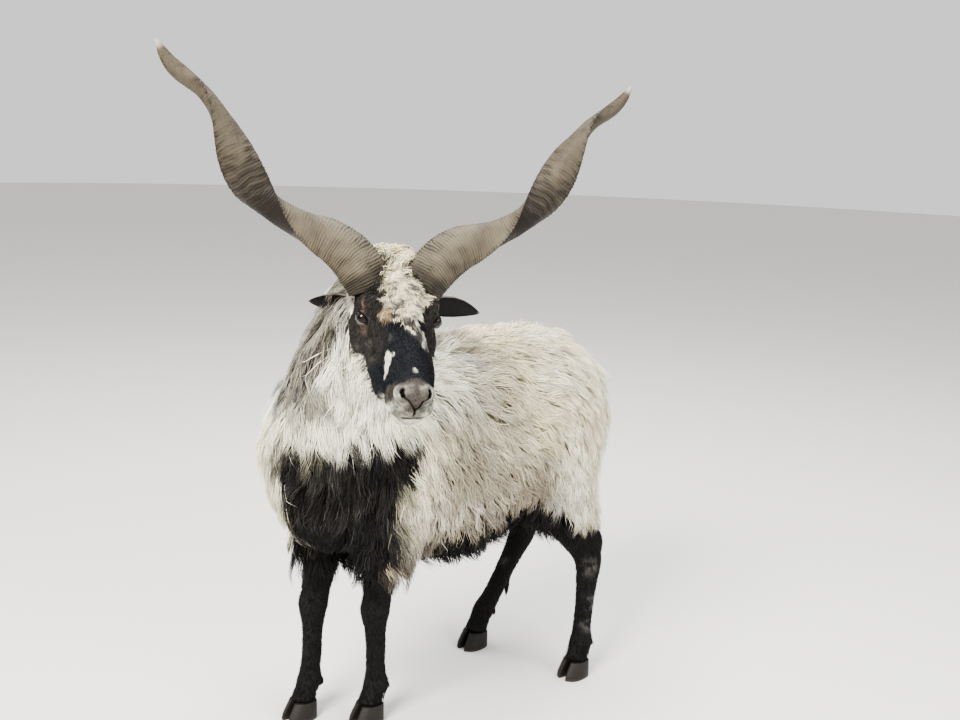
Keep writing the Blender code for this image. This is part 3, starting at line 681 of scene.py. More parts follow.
        chin = rise(-0.086, -0.090, z) * rise(-0.215, -0.235, y)
        tone = mixed(tone, self.white, chin * (0.40 + 0.30 * fleck))
        for hand in (-1, 1):
            above = self.near(points, (hand * 0.0660, -0.079, -0.0285), 0.0125, 1.0)
            below = self.near(points, (hand * 0.0635, -0.101, -0.0590), 0.0105, 1.0)
            bare = np.clip(above * 0.75 + below * 0.9, 0, 1) * (0.75 + 0.25 * fleck)
            tone = mixed(tone, self.pink, bare)
        poll = rise(-0.030, -0.012, y + 0.005 * wander) * rise(-0.050, -0.030, z)
        tone = mixed(tone, self.cream, poll * (0.75 + 0.25 * fleck))
        base = np.hypot((np.abs(x) - 0.052) / 0.0310, (y + 0.006) / 0.0440) + 0.10 * wander
        fringe = rise(1.30, 1.05, base) * rise(-0.055, -0.035, z) * rise(0.015, 0.0, y)
        return mixed(tone, self.umber, fringe * 0.85)


MARKINGS = Markings()


@dataclass(frozen=True)
class BodySkin:
    """The hide of trunk, neck, tail and legs under the wool."""

    trunk: Rows = (
        (0, -0.355, 0.520, 0.050, 0.080), (0, -0.315, 0.530, 0.086, 0.130),
        (0, -0.240, 0.548, 0.112, 0.168), (0, -0.110, 0.547, 0.126, 0.181),
        (0, 0.040, 0.542, 0.143, 0.186), (0, 0.160, 0.560, 0.140, 0.170),
        (0, 0.250, 0.580, 0.120, 0.144), (0, 0.315, 0.588, 0.090, 0.114),
        (0, 0.362, 0.597, 0.045, 0.066),
    )
    neck: Rows = (
        (0.000, -0.205, 0.560, 0.088, 0.114), (0.012, -0.240, 0.660, 0.080, 0.104),
        (0.044, -0.252, 0.750, 0.070, 0.089), (0.084, -0.250, 0.830, 0.058, 0.077),
        (0.123, -0.241, 0.884, 0.050, 0.062), (0.150, -0.250, 0.905, 0.040, 0.048),
    )
    tail: Rows = (
        (0.000, 0.345, 0.632, 0.024, 0.018), (0.000, 0.398, 0.622, 0.022, 0.016),
        (0.000, 0.428, 0.578, 0.020, 0.014), (0.000, 0.437, 0.515, 0.018, 0.012),
        (0.000, 0.437, 0.450, 0.014, 0.010), (0.000, 0.432, 0.410, 0.008, 0.006),
    )
    legs: dict[str, Rows] = field(default_factory=lambda: {
        "leg_front_left": (
            (0.068, -0.190, 0.620, 0.048, 0.080), (0.066, -0.190, 0.500, 0.050, 0.078),
            (0.056, -0.188, 0.420, 0.043, 0.058), (0.044, -0.186, 0.345, 0.033, 0.039),
            (0.034, -0.186, 0.275, 0.0250, 0.029), (0.028, -0.187, 0.230, 0.0255, 0.027),
            (0.024, -0.183, 0.190, 0.0190, 0.0205), (0.020, -0.179, 0.145, 0.0165, 0.0180),
            (0.017, -0.175, 0.100, 0.0175, 0.0195), (0.016, -0.174, 0.078, 0.0215, 0.0235),
            (0.015, -0.180, 0.055, 0.0200, 0.0215), (0.014, -0.186, 0.034, 0.0225, 0.0245),
        ),
        "leg_front_right": (
            (-0.070, -0.205, 0.620, 0.048, 0.080), (-0.073, -0.212, 0.500, 0.050, 0.078),
            (-0.072, -0.224, 0.420, 0.043, 0.058), (-0.070, -0.238, 0.345, 0.033, 0.039),
            (-0.070, -0.254, 0.275, 0.0250, 0.029), (-0.070, -0.262, 0.230, 0.0255, 0.027),
            (-0.072, -0.262, 0.190, 0.0190, 0.0205), (-0.074, -0.263, 0.145, 0.0165, 0.0180),
            (-0.076, -0.264, 0.100, 0.0175, 0.0195), (-0.077, -0.265, 0.078, 0.0215, 0.0235),
            (-0.078, -0.273, 0.055, 0.0200, 0.0215), (-0.078, -0.280, 0.034, 0.0225, 0.0245),
        ),
        "leg_hind_left": (
            (0.072, 0.230, 0.600, 0.052, 0.098), (0.086, 0.215, 0.500, 0.058, 0.098),
            (0.098, 0.228, 0.410, 0.046, 0.070), (0.110, 0.266, 0.335, 0.035, 0.047),
            (0.119, 0.300, 0.278, 0.0250, 0.034), (0.123, 0.311, 0.244, 0.0240, 0.031),
            (0.126, 0.306, 0.200, 0.0200, 0.0240), (0.129, 0.299, 0.150, 0.0175, 0.0200),
            (0.132, 0.292, 0.100, 0.0180, 0.0205), (0.134, 0.289, 0.078, 0.0215, 0.0235),
            (0.135, 0.281, 0.055, 0.0200, 0.0215), (0.136, 0.274, 0.034, 0.0225, 0.0245),
        ),
        "leg_hind_right": (
            (-0.072, 0.230, 0.600, 0.052, 0.098), (-0.082, 0.214, 0.500, 0.058, 0.098),
            (-0.083, 0.235, 0.410, 0.048, 0.072), (-0.081, 0.276, 0.340, 0.036, 0.047),
            (-0.081, 0.311, 0.285, 0.0260, 0.035), (-0.081, 0.314, 0.250, 0.0245, 0.032),
            (-0.085, 0.294, 0.210, 0.0205, 0.0245), (-0.092, 0.267, 0.158, 0.0180, 0.0205),
            (-0.099, 0.240, 0.106, 0.0185, 0.0210), (-0.104, 0.226, 0.082, 0.0215, 0.0235),
            (-0.105, 0.213, 0.057, 0.0200, 0.0215), (-0.105, 0.202, 0.034, 0.0225, 0.0245),
        ),
    })
    voxel: float = 0.009
    leg_voxel: float = 0.0034

    def build_trunk(self) -> Thing:
        """The trunk, neck, tail and upper legs in one skin."""
        forms = [
            Loft("trunk", self.trunk).build(),
            Loft("neck", self.neck, side=(1, 0.35, 0)).build(),
            Loft("tail", self.tail, sides=16).build(),
        ]
        forms += [Loft(name, rows[:5]).build() for name, rows in self.legs.items()]
        return fused("skin", forms, self.voxel, 5)

    def build_legs(self) -> Thing:
        """The legs from under the wool to the claws, with knees, hocks and dewclaws."""
        forms = []
        for name, rows in self.legs.items():
            forms.append(Loft(name, rows[2:], sides=24, rings=90).build())
            x, y, z = rows[9][:3]
            for hand in (-1, 1):
                place = (x + hand * 0.0105, y + 0.0195, z - 0.008)
                forms.append(ball("dewclaw", place, (0.0055, 0.0062, 0.011), (0.35, 0, 0)))
            x, y, z = rows[5][:3]
            if "front" in name:
                forms.append(ball("knee", (x, y - 0.012, z + 0.006), (0.0225, 0.017, 0.028)))
                forms.append(ball("knee_back", (x, y + 0.020, z), (0.013, 0.010, 0.018)))
            else:
                forms.append(ball("hock", (x, y + 0.021, z + 0.034), (0.0130, 0.0150, 0.034)))
                forms.append(ball("hock_side", (x, y - 0.006, z + 0.010), (0.0265, 0.022, 0.026)))
            x, y, z = rows[7][:3]
            forms.append(ball("tendon", (x, y + 0.0155, z + 0.005), (0.0078, 0.0075, 0.062)))
        return fused("skin_legs", forms, self.leg_voxel, 3)


@dataclass(frozen=True)
class Crease:
    """A line sunk in the head's skin and painted dark along it as shade, given on the left side for lines
    that both sides have.
    """

    rows: Rows
    width: float
    depth: float
    # How dark the line is painted: painted shade in the crease, inside a nostril or along the mouth
    dark: float
    both: bool = True
    middle: float = 0.0025
    spread: float = 1.15

    def paths(self) -> list[Array]:
        """The line's points, close together, on each side that has it."""
        rows = dense_rows(self.rows, 8)
        hands = (-1, 1) if self.both else (1,)
        return [columns(self.middle + hand * rows[:, 0], rows[:, 1], rows[:, 2]) for hand in hands]


# Points, width, depth and darkness of each line, the darkness being painted shade along it; a depth below 0
# stands out
CREASES = (
    Crease(((0.0235, -0.2650, -0.0340), (0.0245, -0.2685, -0.0370), (0.0222, -0.2722, -0.0418)),
           0.0044, 0.0066, 1.0, spread=1.3),
    Crease(((0.0215, -0.2730, -0.0425), (0.0180, -0.2750, -0.0452), (0.0130, -0.2765, -0.0480),
            (0.0080, -0.2770, -0.0525), (0.0035, -0.2780, -0.0600), (0.0008, -0.2790, -0.0650)),
           0.0016, 0.0030, 0.80, spread=1.35),
    Crease(((0.0, -0.2785, -0.0640), (0.0, -0.2800, -0.0710), (0.0, -0.2815, -0.0780)),
           0.0021, 0.0036, 0.85, both=False, spread=1.3),
    Crease(((0.0, -0.284, -0.0872), (0.0100, -0.283, -0.0864), (0.0200, -0.280, -0.0845),
            (0.0290, -0.270, -0.0860), (0.0355, -0.252, -0.0915), (0.0380, -0.232, -0.0965),
            (0.0385, -0.212, -0.0990)),
           0.0016, 0.0040, 0.62, middle=0.0, spread=1.4),
    Crease(((0.0330, -0.2480, -0.0400), (0.0345, -0.2560, -0.0480), (0.0335, -0.2640, -0.0580)),
           0.0040, 0.0018, 0.15),
    Crease(((0.0600, -0.1120, -0.0500), (0.0550, -0.1260, -0.0580), (0.0480, -0.1450, -0.0700)),
           0.0060, 0.0026, 0.25, middle=0.0),
    Crease(((0.0560, -0.0620, -0.0200), (0.0600, -0.0820, -0.0190), (0.0560, -0.1010, -0.0240)),
           0.0035, 0.0014, 0.20, middle=0.0),
    Crease(((0.0250, -0.1500, -0.0300), (0.0300, -0.1800, -0.0430), (0.0310, -0.2100, -0.0480)),
           0.0070, -0.0012, 0.0, middle=0.0),
    Crease(((0.0300, -0.2640, -0.0760), (0.0240, -0.2750, -0.0770), (0.0120, -0.2820, -0.0800)),
           0.0030, -0.0008, 0.0, middle=0.0),
)


@dataclass
class Head:
    """The head's skin: skull, cheeks, lids, nostrils, lips and chin, in its own frame."""

    skull: Rows = (
        (0, 0.044, -0.052, 0.040, 0.036), (0, 0.008, -0.058, 0.058, 0.054),
        (0, -0.040, -0.062, 0.066, 0.066), (0, -0.086, -0.064, 0.064, 0.064),
        (0, -0.130, -0.068, 0.050, 0.056), (0, -0.176, -0.071, 0.0400, 0.047),
        (0, -0.216, -0.073, 0.0370, 0.0440), (0, -0.246, -0.072, 0.0365, 0.0430),
        (0, -0.265, -0.069, 0.0310, 0.0370), (0, -0.276, -0.067, 0.0220, 0.0260),
        (0, -0.2815, -0.067, 0.0100, 0.0130),
    )
    voxel: float = 0.0019
    eye_radius: float = 0.0135
    eye_axis: Triple = (0.77, -0.58, 0.36)
    lids: Rows = (
        (38, 0.0003, 0.0026, 76), (-30, 0.0003, 0.0026, 76),
        (60, -0.0010, 0.0032, 84), (-54, 0.0000, 0.0034, 82),
    )
    painted_crease_shade: list[tuple[Array, float, float]] = field(default_factory=list)

    def masses(self) -> list[Thing]:
        """The head's rounded masses."""
        forms = [Loft("skull", self.skull, sides=40, rings=80).build()]
        for hand in (-1, 1):
            balls = (
                ("brow", (0.047, -0.080, -0.024), (0.018, 0.030, 0.013)),
                ("cheek", (0.040, -0.072, -0.098), (0.033, 0.074, 0.038)),
                ("jaw", (0.030, -0.145, -0.096), (0.028, 0.085, 0.030)),
                ("wing", (0.018, -0.259, -0.049), (0.0155, 0.019, 0.016)),
                ("lip", (0.019, -0.247, -0.077), (0.020, 0.034, 0.018)),
            )
            for name, (x, y, z), radii in balls:
                forms.append(ball(name, (hand * x, y, z), radii))
        forms.append(ball("chin", (0, -0.242, -0.104), (0.025, 0.032, 0.014)))
        forms.append(ball("throat", (0, 0.000, -0.085), (0.046, 0.050, 0.062)))
        return forms

    def eye_frame(self, hand: int) -> tuple[Vector, Vector, Vector, Vector]:
        """The eye's centre and its outward, forward and upward ways.

        Args:
            hand: The sign of x on that side.

        Returns:
            Centre, out, ahead and up.
        """
        out = Vector((self.eye_axis[0] * hand, self.eye_axis[1], self.eye_axis[2])).normalized()
        ahead = Vector((0, -1, 0.10))
        ahead = (ahead - out * ahead.dot(out)).normalized()
        return eye_place(hand), out, ahead, (out.cross(ahead) * -hand).normalized()

    def lid(self, hand: int, lift: float, reach: float, thick: float, spread: float) -> Thing:
        """A rolled eyelid or fold that arches over the ball.

        Args:
            hand: The sign of x on that side.
            lift: Its angle above the eye's middle.
            reach: How far it stands off the ball.
            thick: Its half thickness in the middle.
            spread: How far it runs each way, as an angle.

        Returns:
            The roll.
        """
        centre, out, ahead, up = (np.array(part) for part in self.eye_frame(hand))

        def place(u: Array, v: Array) -> Array:
            share = 2 * v - 1
            turn = spread * share
            high = lift * (1 - np.abs(share) ** 2.2)
            way = out * (np.cos(high) * np.cos(turn))[:, None]
            way = unit(way + ahead * (np.cos(high) * np.sin(turn))[:, None] + up * np.sin(high)[:, None])
            along = unit(ahead * np.cos(turn)[:, None] - out * np.sin(turn)[:, None])
            rim = unit(np.cross(way, along))
            radius = thick * (1 - 0.45 * share**2)
            angle = 2 * math.pi * (u % 1.0)
            spot = centre + way * (self.eye_radius + reach + radius * 0.7 * np.cos(angle))[:, None]
            return spot + rim * (radius * np.sin(angle))[:, None]

        return rolled("lid", place, 10, 24)

    @staticmethod
    def from_line(points: Array, path: Array, reach: float = 0.03) -> Array:
        """How far points are from a line, for those within reach of it; others get the reach."""
        away = np.full(len(points), reach)
        low, high = path.min(axis=0) - reach, path.max(axis=0) + reach
        near = np.all((points > low) & (points < high), axis=1)
        spots = points[near]
        best = np.full(len(spots), reach)
        for row in path:
            best = np.minimum(best, distance(spots, row))
        away[near] = best
        return away

    def refine(self, head: Thing) -> None:
        """Makes the faces of the muzzle and round the eyes finer."""
        points = mesh_rows(head.data)
        fine = points[:, 1] < -0.205
        for hand in (-1, 1):
            fine |= distance(points, eye_place(hand)) < 0.026
        select([head])
        head.data.vertices.foreach_set("select", fine)
        corners = np.array([all(fine[i] for i in face.vertices) for face in head.data.polygons])
        head.data.polygons.foreach_set("select", corners)
        bpy.ops.object.mode_set(mode="EDIT")
        bpy.ops.mesh.select_mode(type="FACE")
        bpy.ops.mesh.subdivide(number_cuts=1, smoothness=0.5)
        bpy.ops.object.mode_set(mode="OBJECT")

    def build(self) -> Thing:
        """The head's skin in its own frame, with every crease sunk in it and its line of painted shade kept
        for the colours.
        """
        forms = self.masses()
        for hand in (-1, 1):
            for lift, reach, thick, spread in self.lids:
                forms.append(self.lid(hand, math.radians(lift), reach, thick, math.radians(spread)))
        head = fused("skin_head", forms, self.voxel, 3)
        self.refine(head)
        points, normals = mesh_rows(head.data), mesh_rows(head.data, "normal")
        surface = tree_of(points)
        for crease in CREASES:
            for path in crease.paths():
                found = [surface.find(Vector(row))[1] for row in path]
                path = points[found]
                reach = crease.width * crease.spread
                self.painted_crease_shade.append((path - normals[found] * crease.depth, reach, crease.dark))
                away = self.from_line(points, path)
                points = points - normals * (crease.depth * np.exp(-((away / crease.width) ** 2)))[:, None]
        set_points(head.data, points)
        return head

    def tone(self, points: Array) -> Array:
        """Colours of the head, with painted shade along its creases and its dark lid rims.

        Args:
            points: Rows of x, y, z in the head's frame.

        Returns:
            Rows of red, green and blue.
        """
        tone = MARKINGS.head(points)
        # Near black: painted shade along the creases, and the lids' own dark rims
        dark = (0.006, 0.005, 0.005)
        for path, width, share in self.painted_crease_shade:
            if share:
                away = self.from_line(points, path)
                tone = mixed(tone, dark, share * rise(width * 1.15, width * 0.7, away))
        for hand in (-1, 1):
            centre, out, ahead, up = (np.array(part) for part in self.eye_frame(hand))
            local = points - centre
            reach = np.linalg.norm(local, axis=1)
            lift = np.degrees(np.arctan2(local @ up, local @ out))
            along = np.degrees(np.arctan2(local @ ahead, local @ out))
            rim = rise(0.0175, 0.0158, reach) * rise(48, 40, lift) * rise(100, 80, np.abs(along))
            tone = mixed(tone, dark, rim * rise(-30, -22, lift))
            gleam = rise(0.0178, 0.0160, reach) * rise(-19, -22, lift) * rise(-33, -28, lift)
            tone = mixed(tone, (0.17, 0.16, 0.16), gleam * rise(62, 45, np.abs(along)) * 0.7)
            ring = rise(0.0235, 0.0195, reach) * rise(-48, -62, lift) * rise(100, 80, np.abs(along))
            tone = mixed(tone, np.array(MARKINGS.umber) * 0.7, ring * 0.7)
        return tone


@dataclass(frozen=True)
class Horns:
    """Both horns: a blade with two keels, wound along a waving line and ringed across."""

    root: Triple = (-0.050, -0.006, -0.007)
    reach: Triple = (-0.347, 0.2115, 0.270)
    face: Triple = (-0.117, -0.841, 0.528)
    turn: float = math.radians(414)
    slow: float = 0.16
    level: float = 0.303
    node: float = 0.345
    wave: float = 0.0226
    wave_depth: float = 0.008
    wave_middle: float = 0.0312
    wave_length: float = 0.721
    wave_crest: float = 0.412
    sunk: float = 0.06
    sizes: Rows = (
        (-0.06, 0.078, 0.054), (0.00, 0.081, 0.058), (0.13, 0.079, 0.053), (0.28, 0.073, 0.046),
        (0.43, 0.067, 0.040), (0.58, 0.064, 0.034), (0.74, 0.048, 0.026), (0.90, 0.029, 0.019),
        (0.96, 0.018, 0.012), (1.00, 0.006, 0.005),
    )
    rings: int = 620
    sides: int = 36
    ridge: float = 0.0013
    ridges: float = 96

    def ways(self) -> tuple[Array, Array]:
        """The two ways across the right horn's axis."""
        axis = unit(np.array(self.reach))
        face = unit(np.array(self.face) - axis * np.dot(self.face, axis))
        return face, np.cross(axis, face)

    @staticmethod
    def round_rows(share: Array, angle: Array, stretch: float, radius: float) -> Array:
        """Points for a noise that has no seam round the horn."""
        return columns(share * stretch, np.cos(angle) * radius, np.sin(angle) * radius)

    def centre(self, share: Array) -> Array:
        """Points of the right horn's middle line, at shares of its length."""
        face, side = self.ways()
        angle = -math.pi / 2 + 2 * math.pi * (share - self.wave_crest) / self.wave_length
        offset = face * (np.cos(angle) * self.wave_depth)[:, None]
        offset = offset + side * (np.sin(angle) * self.wave - self.wave_middle)[:, None]
        fade = rise(1.064, 0.83, share)[:, None]
        return np.array(self.root) + np.array(self.reach) * share[:, None] + offset * fade

    def rings_across(self, share: Array, round_angle: Array) -> Array:
        """Height of the growth rings, from 0 in a groove to 1 on a ridge."""
        rows = self.round_rows(share, round_angle, 3.0, 0.35)
        wobble = 2.2 * ripple(rows, 0.32, 21) + 1.3 * ripple(rows, 0.09, 22)
        bend = 4.2 * np.abs(np.cos(round_angle)) ** 1.5
        phase = 2 * math.pi * self.ridges * np.maximum(share + 0.06, 0) ** 0.95 + wobble + bend
        fine = (0.5 + 0.5 * np.sin(phase)) ** 0.7
        broad = 0.5 + 0.5 * np.sin(phase * 0.37 + 1.4 * ripple(rows, 0.2, 25))
        coarse = 0.20 + 0.30 * rise(0.30, 0.50, share)
        return fine * (1 - coarse) + broad * coarse

    def strength(self, share: Array, angle: Array) -> Array:
        """How strongly the rings show: most near the root and along the keels."""
        rows = self.round_rows(share, angle, 2.4, 0.20)
        shown = 0.42 + 0.70 * rise(0.26, 0.03, share) + 0.50 * np.abs(np.cos(angle)) ** 3
        shown = shown + 0.35 * rise(0.30, 0.38, share) * rise(0.70, 0.55, share)
        return np.clip(shown * (0.85 + 0.45 * ripple(rows, 0.10, 27)), 0.12, 1.15)

    def surface(self, u: Array, v: Array, hand: int) -> Array:
        """Points of a horn's surface.

        Args:
            u: Shares round the horn.
            v: Shares along it.
            hand: The sign of x on that side.

        Returns:
            Rows of x, y, z in the head's frame.
        """
        share = -self.sunk + (1 + self.sunk) * v
        face, side = self.ways()
        along = unit(self.centre(share + 0.01) - self.centre(share - 0.01))
        twist = self.turn * (np.maximum(share, self.slow) - self.level)
        twist = twist + 0.35 * self.turn * np.minimum(0.0, share - self.slow)
        twist = twist + 0.13 * np.sin(2 * self.turn * (share - self.node)) * rise(0.10, 0.22, share)
        keel = face * np.cos(twist)[:, None] + side * np.sin(twist)[:, None]
        keel = unit(keel - along * (keel * along).sum(axis=1)[:, None])
        flat = np.cross(along, keel)
        table = np.array(self.sizes)
        width = np.interp(share, table[:, 0], table[:, 1])
        thick = np.interp(share, table[:, 0], table[:, 2])
        angle = 2 * math.pi * (u % 1.0)
        swell = np.copysign(np.abs(np.sin(angle)) ** 1.8, np.sin(angle)) * thick / 2
        broad = np.copysign(np.abs(np.cos(angle)) ** 1.15, np.cos(angle)) * width / 2
        swell *= np.where(swell < 0, 1 + 0.12 * rise(0.36, 0.05, share), 1.0)
        away = keel * broad[:, None] + flat * swell[:, None]
        edge = np.abs(np.cos(angle)) ** 3
        high = self.rings_across(share, angle) * self.ridge * (1 + 0.7 * edge) * self.strength(share, angle)
        high = high * (1 - 0.55 * np.clip(share, 0, 1)) * rise(0.97, 0.80, share)
        away = away + unit(away) * (high - self.ridge * 0.7)[:, None] * rise(1.0, 0.97, share)[:, None]
        spots = self.centre(share) + away
        return spots * np.array((-hand, 1, 1))

    def tone(self, u: Array, v: Array) -> Array:
        """Colours of the sheath: tan ridges, grooves darkened as painted shade, a dark keel, an underside
        darkened partly as painted shade, and a pale tip.
        """
        share = -self.sunk + (1 + self.sunk) * v
        angle = 2 * math.pi * u
        high = self.rings_across(share, angle)
        rows = self.round_rows(share, angle, 2.0, 0.25)
        broad, fine = ripple(rows, 0.22, 23), ripple(rows, 0.05, 24)
        tan, taupe = np.array((0.120, 0.103, 0.070)), np.array((0.092, 0.076, 0.053))
        dark, pale = np.array((0.0105, 0.0078, 0.0062)), np.array((0.34, 0.31, 0.25))
        tone = mixed(tan, taupe, np.clip(0.35 + 0.45 * broad, 0, 1))
        tone = mixed(tone, taupe, 0.75 * rise(0.40, 0.62, share))
        # Painted shade: the grooves between the rings are darkened, most near the root and along the keels
        keels = np.abs(np.cos(angle)) ** 2
        deep = 0.30 + 0.55 * rise(0.16, 0.02, share) + 0.35 * keels
        deep = deep + 0.15 * rise(0.35, 0.5, share) + 0.2 * broad
        groove = (1 - high) ** 1.1 * np.clip(deep + 0.15, 0.1, 0.95) * self.strength(share, angle)
        tone = mixed(tone, dark, np.clip(groove + 0.10 * fine, 0, 0.9))
        # The lobe's underside is darkened: partly the horn's own dark brown and partly painted shade where
        # it faces down
        lobe = rise(0.22, 0.30, share) * rise(0.64, 0.47, share + 0.04 * broad + 0.02 * fine)
        under = rise(-0.10, 0.15, -np.sin(angle)) * lobe
        keel = 0.45 * rise(0.90, 0.99, np.abs(np.cos(angle)))
        keel = keel * rise(0.02, 0.10, share) * rise(0.95, 0.75, share)
        dark_horn_and_shade = (0.85 + 0.50 * rise(0.48, 0.34, share)) * under * (1.20 - 0.50 * high)
        dark_horn_and_shade = dark_horn_and_shade + (0.20 + 0.30 * rise(0.2, 1.2, broad)) * rise(0.58, 0.70, share)
        tone = mixed(tone, dark, np.clip(dark_horn_and_shade + keel * (1.1 - high), 0, 0.96))
        tone = mixed(tone, dark, 0.7 * rise(0.012, -0.02, share))
        return mixed(tone, pale, rise(0.965, 0.99, share))

    def build(self) -> None:
        """Both horns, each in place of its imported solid."""
        for side in Side:
            hand = side.value
            horn = rolled(
                f"ringed_horn_{side.label}", lambda u, v, h=hand: self.surface(u, v, h),
                self.sides, self.rings
            )
            self.colour(horn, hand)
            horn.data.transform(head_matrix())
            dress(horn, HORN, f"horn_{side.label}")

    def colour(self, horn: Thing, hand: int) -> None:
        """Keeps the sheath's colours on a horn: each point's shares are found from its place."""
        grid_u, grid_v = np.meshgrid(
            np.arange(self.sides) / self.sides, np.arange(self.rings + 1) / self.rings)
        grid_u, grid_v = grid_u.ravel(), grid_v.ravel()
        spots = self.surface(grid_u, grid_v, hand)
        tree = tree_of(spots)
        found = [tree.find(vert.co)[1] for vert in horn.data.vertices]
        set_tone(horn.data, self.tone(grid_u, grid_v)[found])


@dataclass(frozen=True)
class Ears:
    """Both ears: pointed leaves rolled into cups that face forward."""

    root: Triple = (0.058, -0.012, -0.084)
    ways: dict[Side, Triple] = field(default_factory=lambda: {
        Side.LEFT: (0.80, 0.22, -0.27), Side.RIGHT: (-0.80, 0.56, -0.50)})
    lengths: dict[Side, float] = field(default_factory=lambda: {Side.LEFT: 0.130, Side.RIGHT: 0.098})
    width: float = 0.047
    wall: float = 0.0040
    bow: float = 0.004
    face: Triple = (0, -1, 0.10)
    shape: Rows = (
        (0.00, 0.58, 0.80), (0.12, 0.74, 0.74), (0.28, 0.94, 0.62), (0.45, 1.00, 0.50),
        (0.62, 0.86, 0.40), (0.78, 0.60, 0.30), (0.90, 0.34, 0.20), (1.00, 0.06, 0.10),
    )

    def frame(self, side: Side) -> tuple[Array, Array, Array, Array]:
        """An ear's root, its way, its face and its side."""
        way = unit(np.array(self.ways[side]))
        face = np.array(self.face, float)
        face = unit(face - way * face.dot(way))
        root = np.array(self.root) * (side.value, 1, 1)
        return root, way, face, np.cross(way, face)

    def profile(self, share: Array) -> tuple[Array, Array]:
        """An ear's half width and the cup's depth at shares of its length."""
        place, wide, deep = np.array(self.shape).T
        half = self.width / 2 * np.interp(share, place, wide)
        return half, half * np.interp(share, place, deep)

    def surface(self, u: Array, v: Array, side: Side) -> Array:
        """Points of an ear's two walls at shares round and along it."""
        root, way, face, across = self.frame(side)
        half, depth = self.profile(v)
        wall = self.wall * (1 - 0.72 * v)
        u = u % 1.0
        outer = u < 0.5
        angle = np.where(outer, -math.pi / 2 + 2 * math.pi * u, math.pi / 2 - 2 * math.pi * (u - 0.5))
        aside = np.sin(angle) * half * np.where(outer, 1.0, 0.90)
        back = np.cos(angle) * np.where(outer, depth + wall, depth)
        bow = self.bow * np.sin(math.pi * v)
        centre = root + way * (self.lengths[side] * v)[:, None] - across * bow[:, None]
        return centre + across * aside[:, None] - face * back[:, None]

    def build(self) -> None:
        """Both ears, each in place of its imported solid."""
        for side in Side:
            ear = rolled(f"cupped_ear_{side.label}", lambda u, v, s=side: self.surface(u, v, s), 36, 48)
            points = mesh_rows(ear.data)
            root, way, _, across = self.frame(side)
            share = (points - root) @ way / self.lengths[side]
            rim = np.abs((points - root) @ across + self.bow * np.sin(math.pi * share))
            rim = rim / np.maximum(self.profile(share)[0], 0.001)
            tone = np.tile((0.012, 0.011, 0.011), (len(points), 1))
            edge = rise(0.90, 0.99, rim) * 0.55 + rise(0.95, 1.0, share) * 0.6
            set_tone(ear.data, mixed(tone, (0.38, 0.33, 0.28), np.clip(edge, 0, 0.8)))
            ear.data.transform(head_matrix())
            dress(ear, EAR_HAIR, f"ear_{side.label}")


@dataclass(frozen=True)
class Eyes:
    """Both eyeballs, with a dark amber iris and a level slot of a pupil."""

    head: Head
    iris: float = 0.0104
    pupil: tuple[float, float] = (0.0074, 0.0032)
    cornea: tuple[float, float] = (0.0105, 0.0010)
    streaks: int = 34

    def build(self) -> None:
        """Both balls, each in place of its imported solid."""
        for side in Side:
            centre, out, ahead, up = self.head.eye_frame(side.value)
            deselect()
            radius = self.head.eye_radius
            bpy.ops.mesh.primitive_uv_sphere_add(segments=64, ring_count=48, radius=radius)
            eye = bpy.context.object
            eye.name = f"glossy_eye_{side.label}"
            points = mesh_rows(eye.data)
            front = points[:, 2] > 0
            off = np.hypot(points[:, 0], points[:, 1])
            points[:, 2] += rise(self.cornea[0], 0.0, off) * front * self.cornea[1]
            streak = 0.5 + 0.5 * np.sin(np.arctan2(points[:, 1], points[:, 0]) * self.streaks)
            white = np.array((0.030, 0.024, 0.022))
            inside = rise(self.iris + 0.0005, self.iris - 0.0005, off) * front
            tone = mixed(white, (0.004, 0.003, 0.003), inside)
            core = rise(self.iris - 0.0008, self.iris - 0.0028, off) * front * (0.6 + 0.4 * streak)
            tone = mixed(tone, (0.020, 0.013, 0.008), core)
            slot = np.hypot(points[:, 0] / self.pupil[0], points[:, 1] / self.pupil[1])
            hole = rise(1.12, 0.92, slot) * front
            tone = tone * (1 - hole[:, None] * 0.97)
            set_tone(eye.data, tone)
            turn = Matrix.Identity(4)
            for row in range(3):
                turn[row][0], turn[row][1], turn[row][2] = ahead[row], up[row], out[row]
            set_points(eye.data, carried(points, head_matrix() @ Matrix.Translation(centre) @ turn))
            if turn.determinant() < 0:
                eye.data.flip_normals()
            dress(eye, EYE, f"eye_{side.label}")


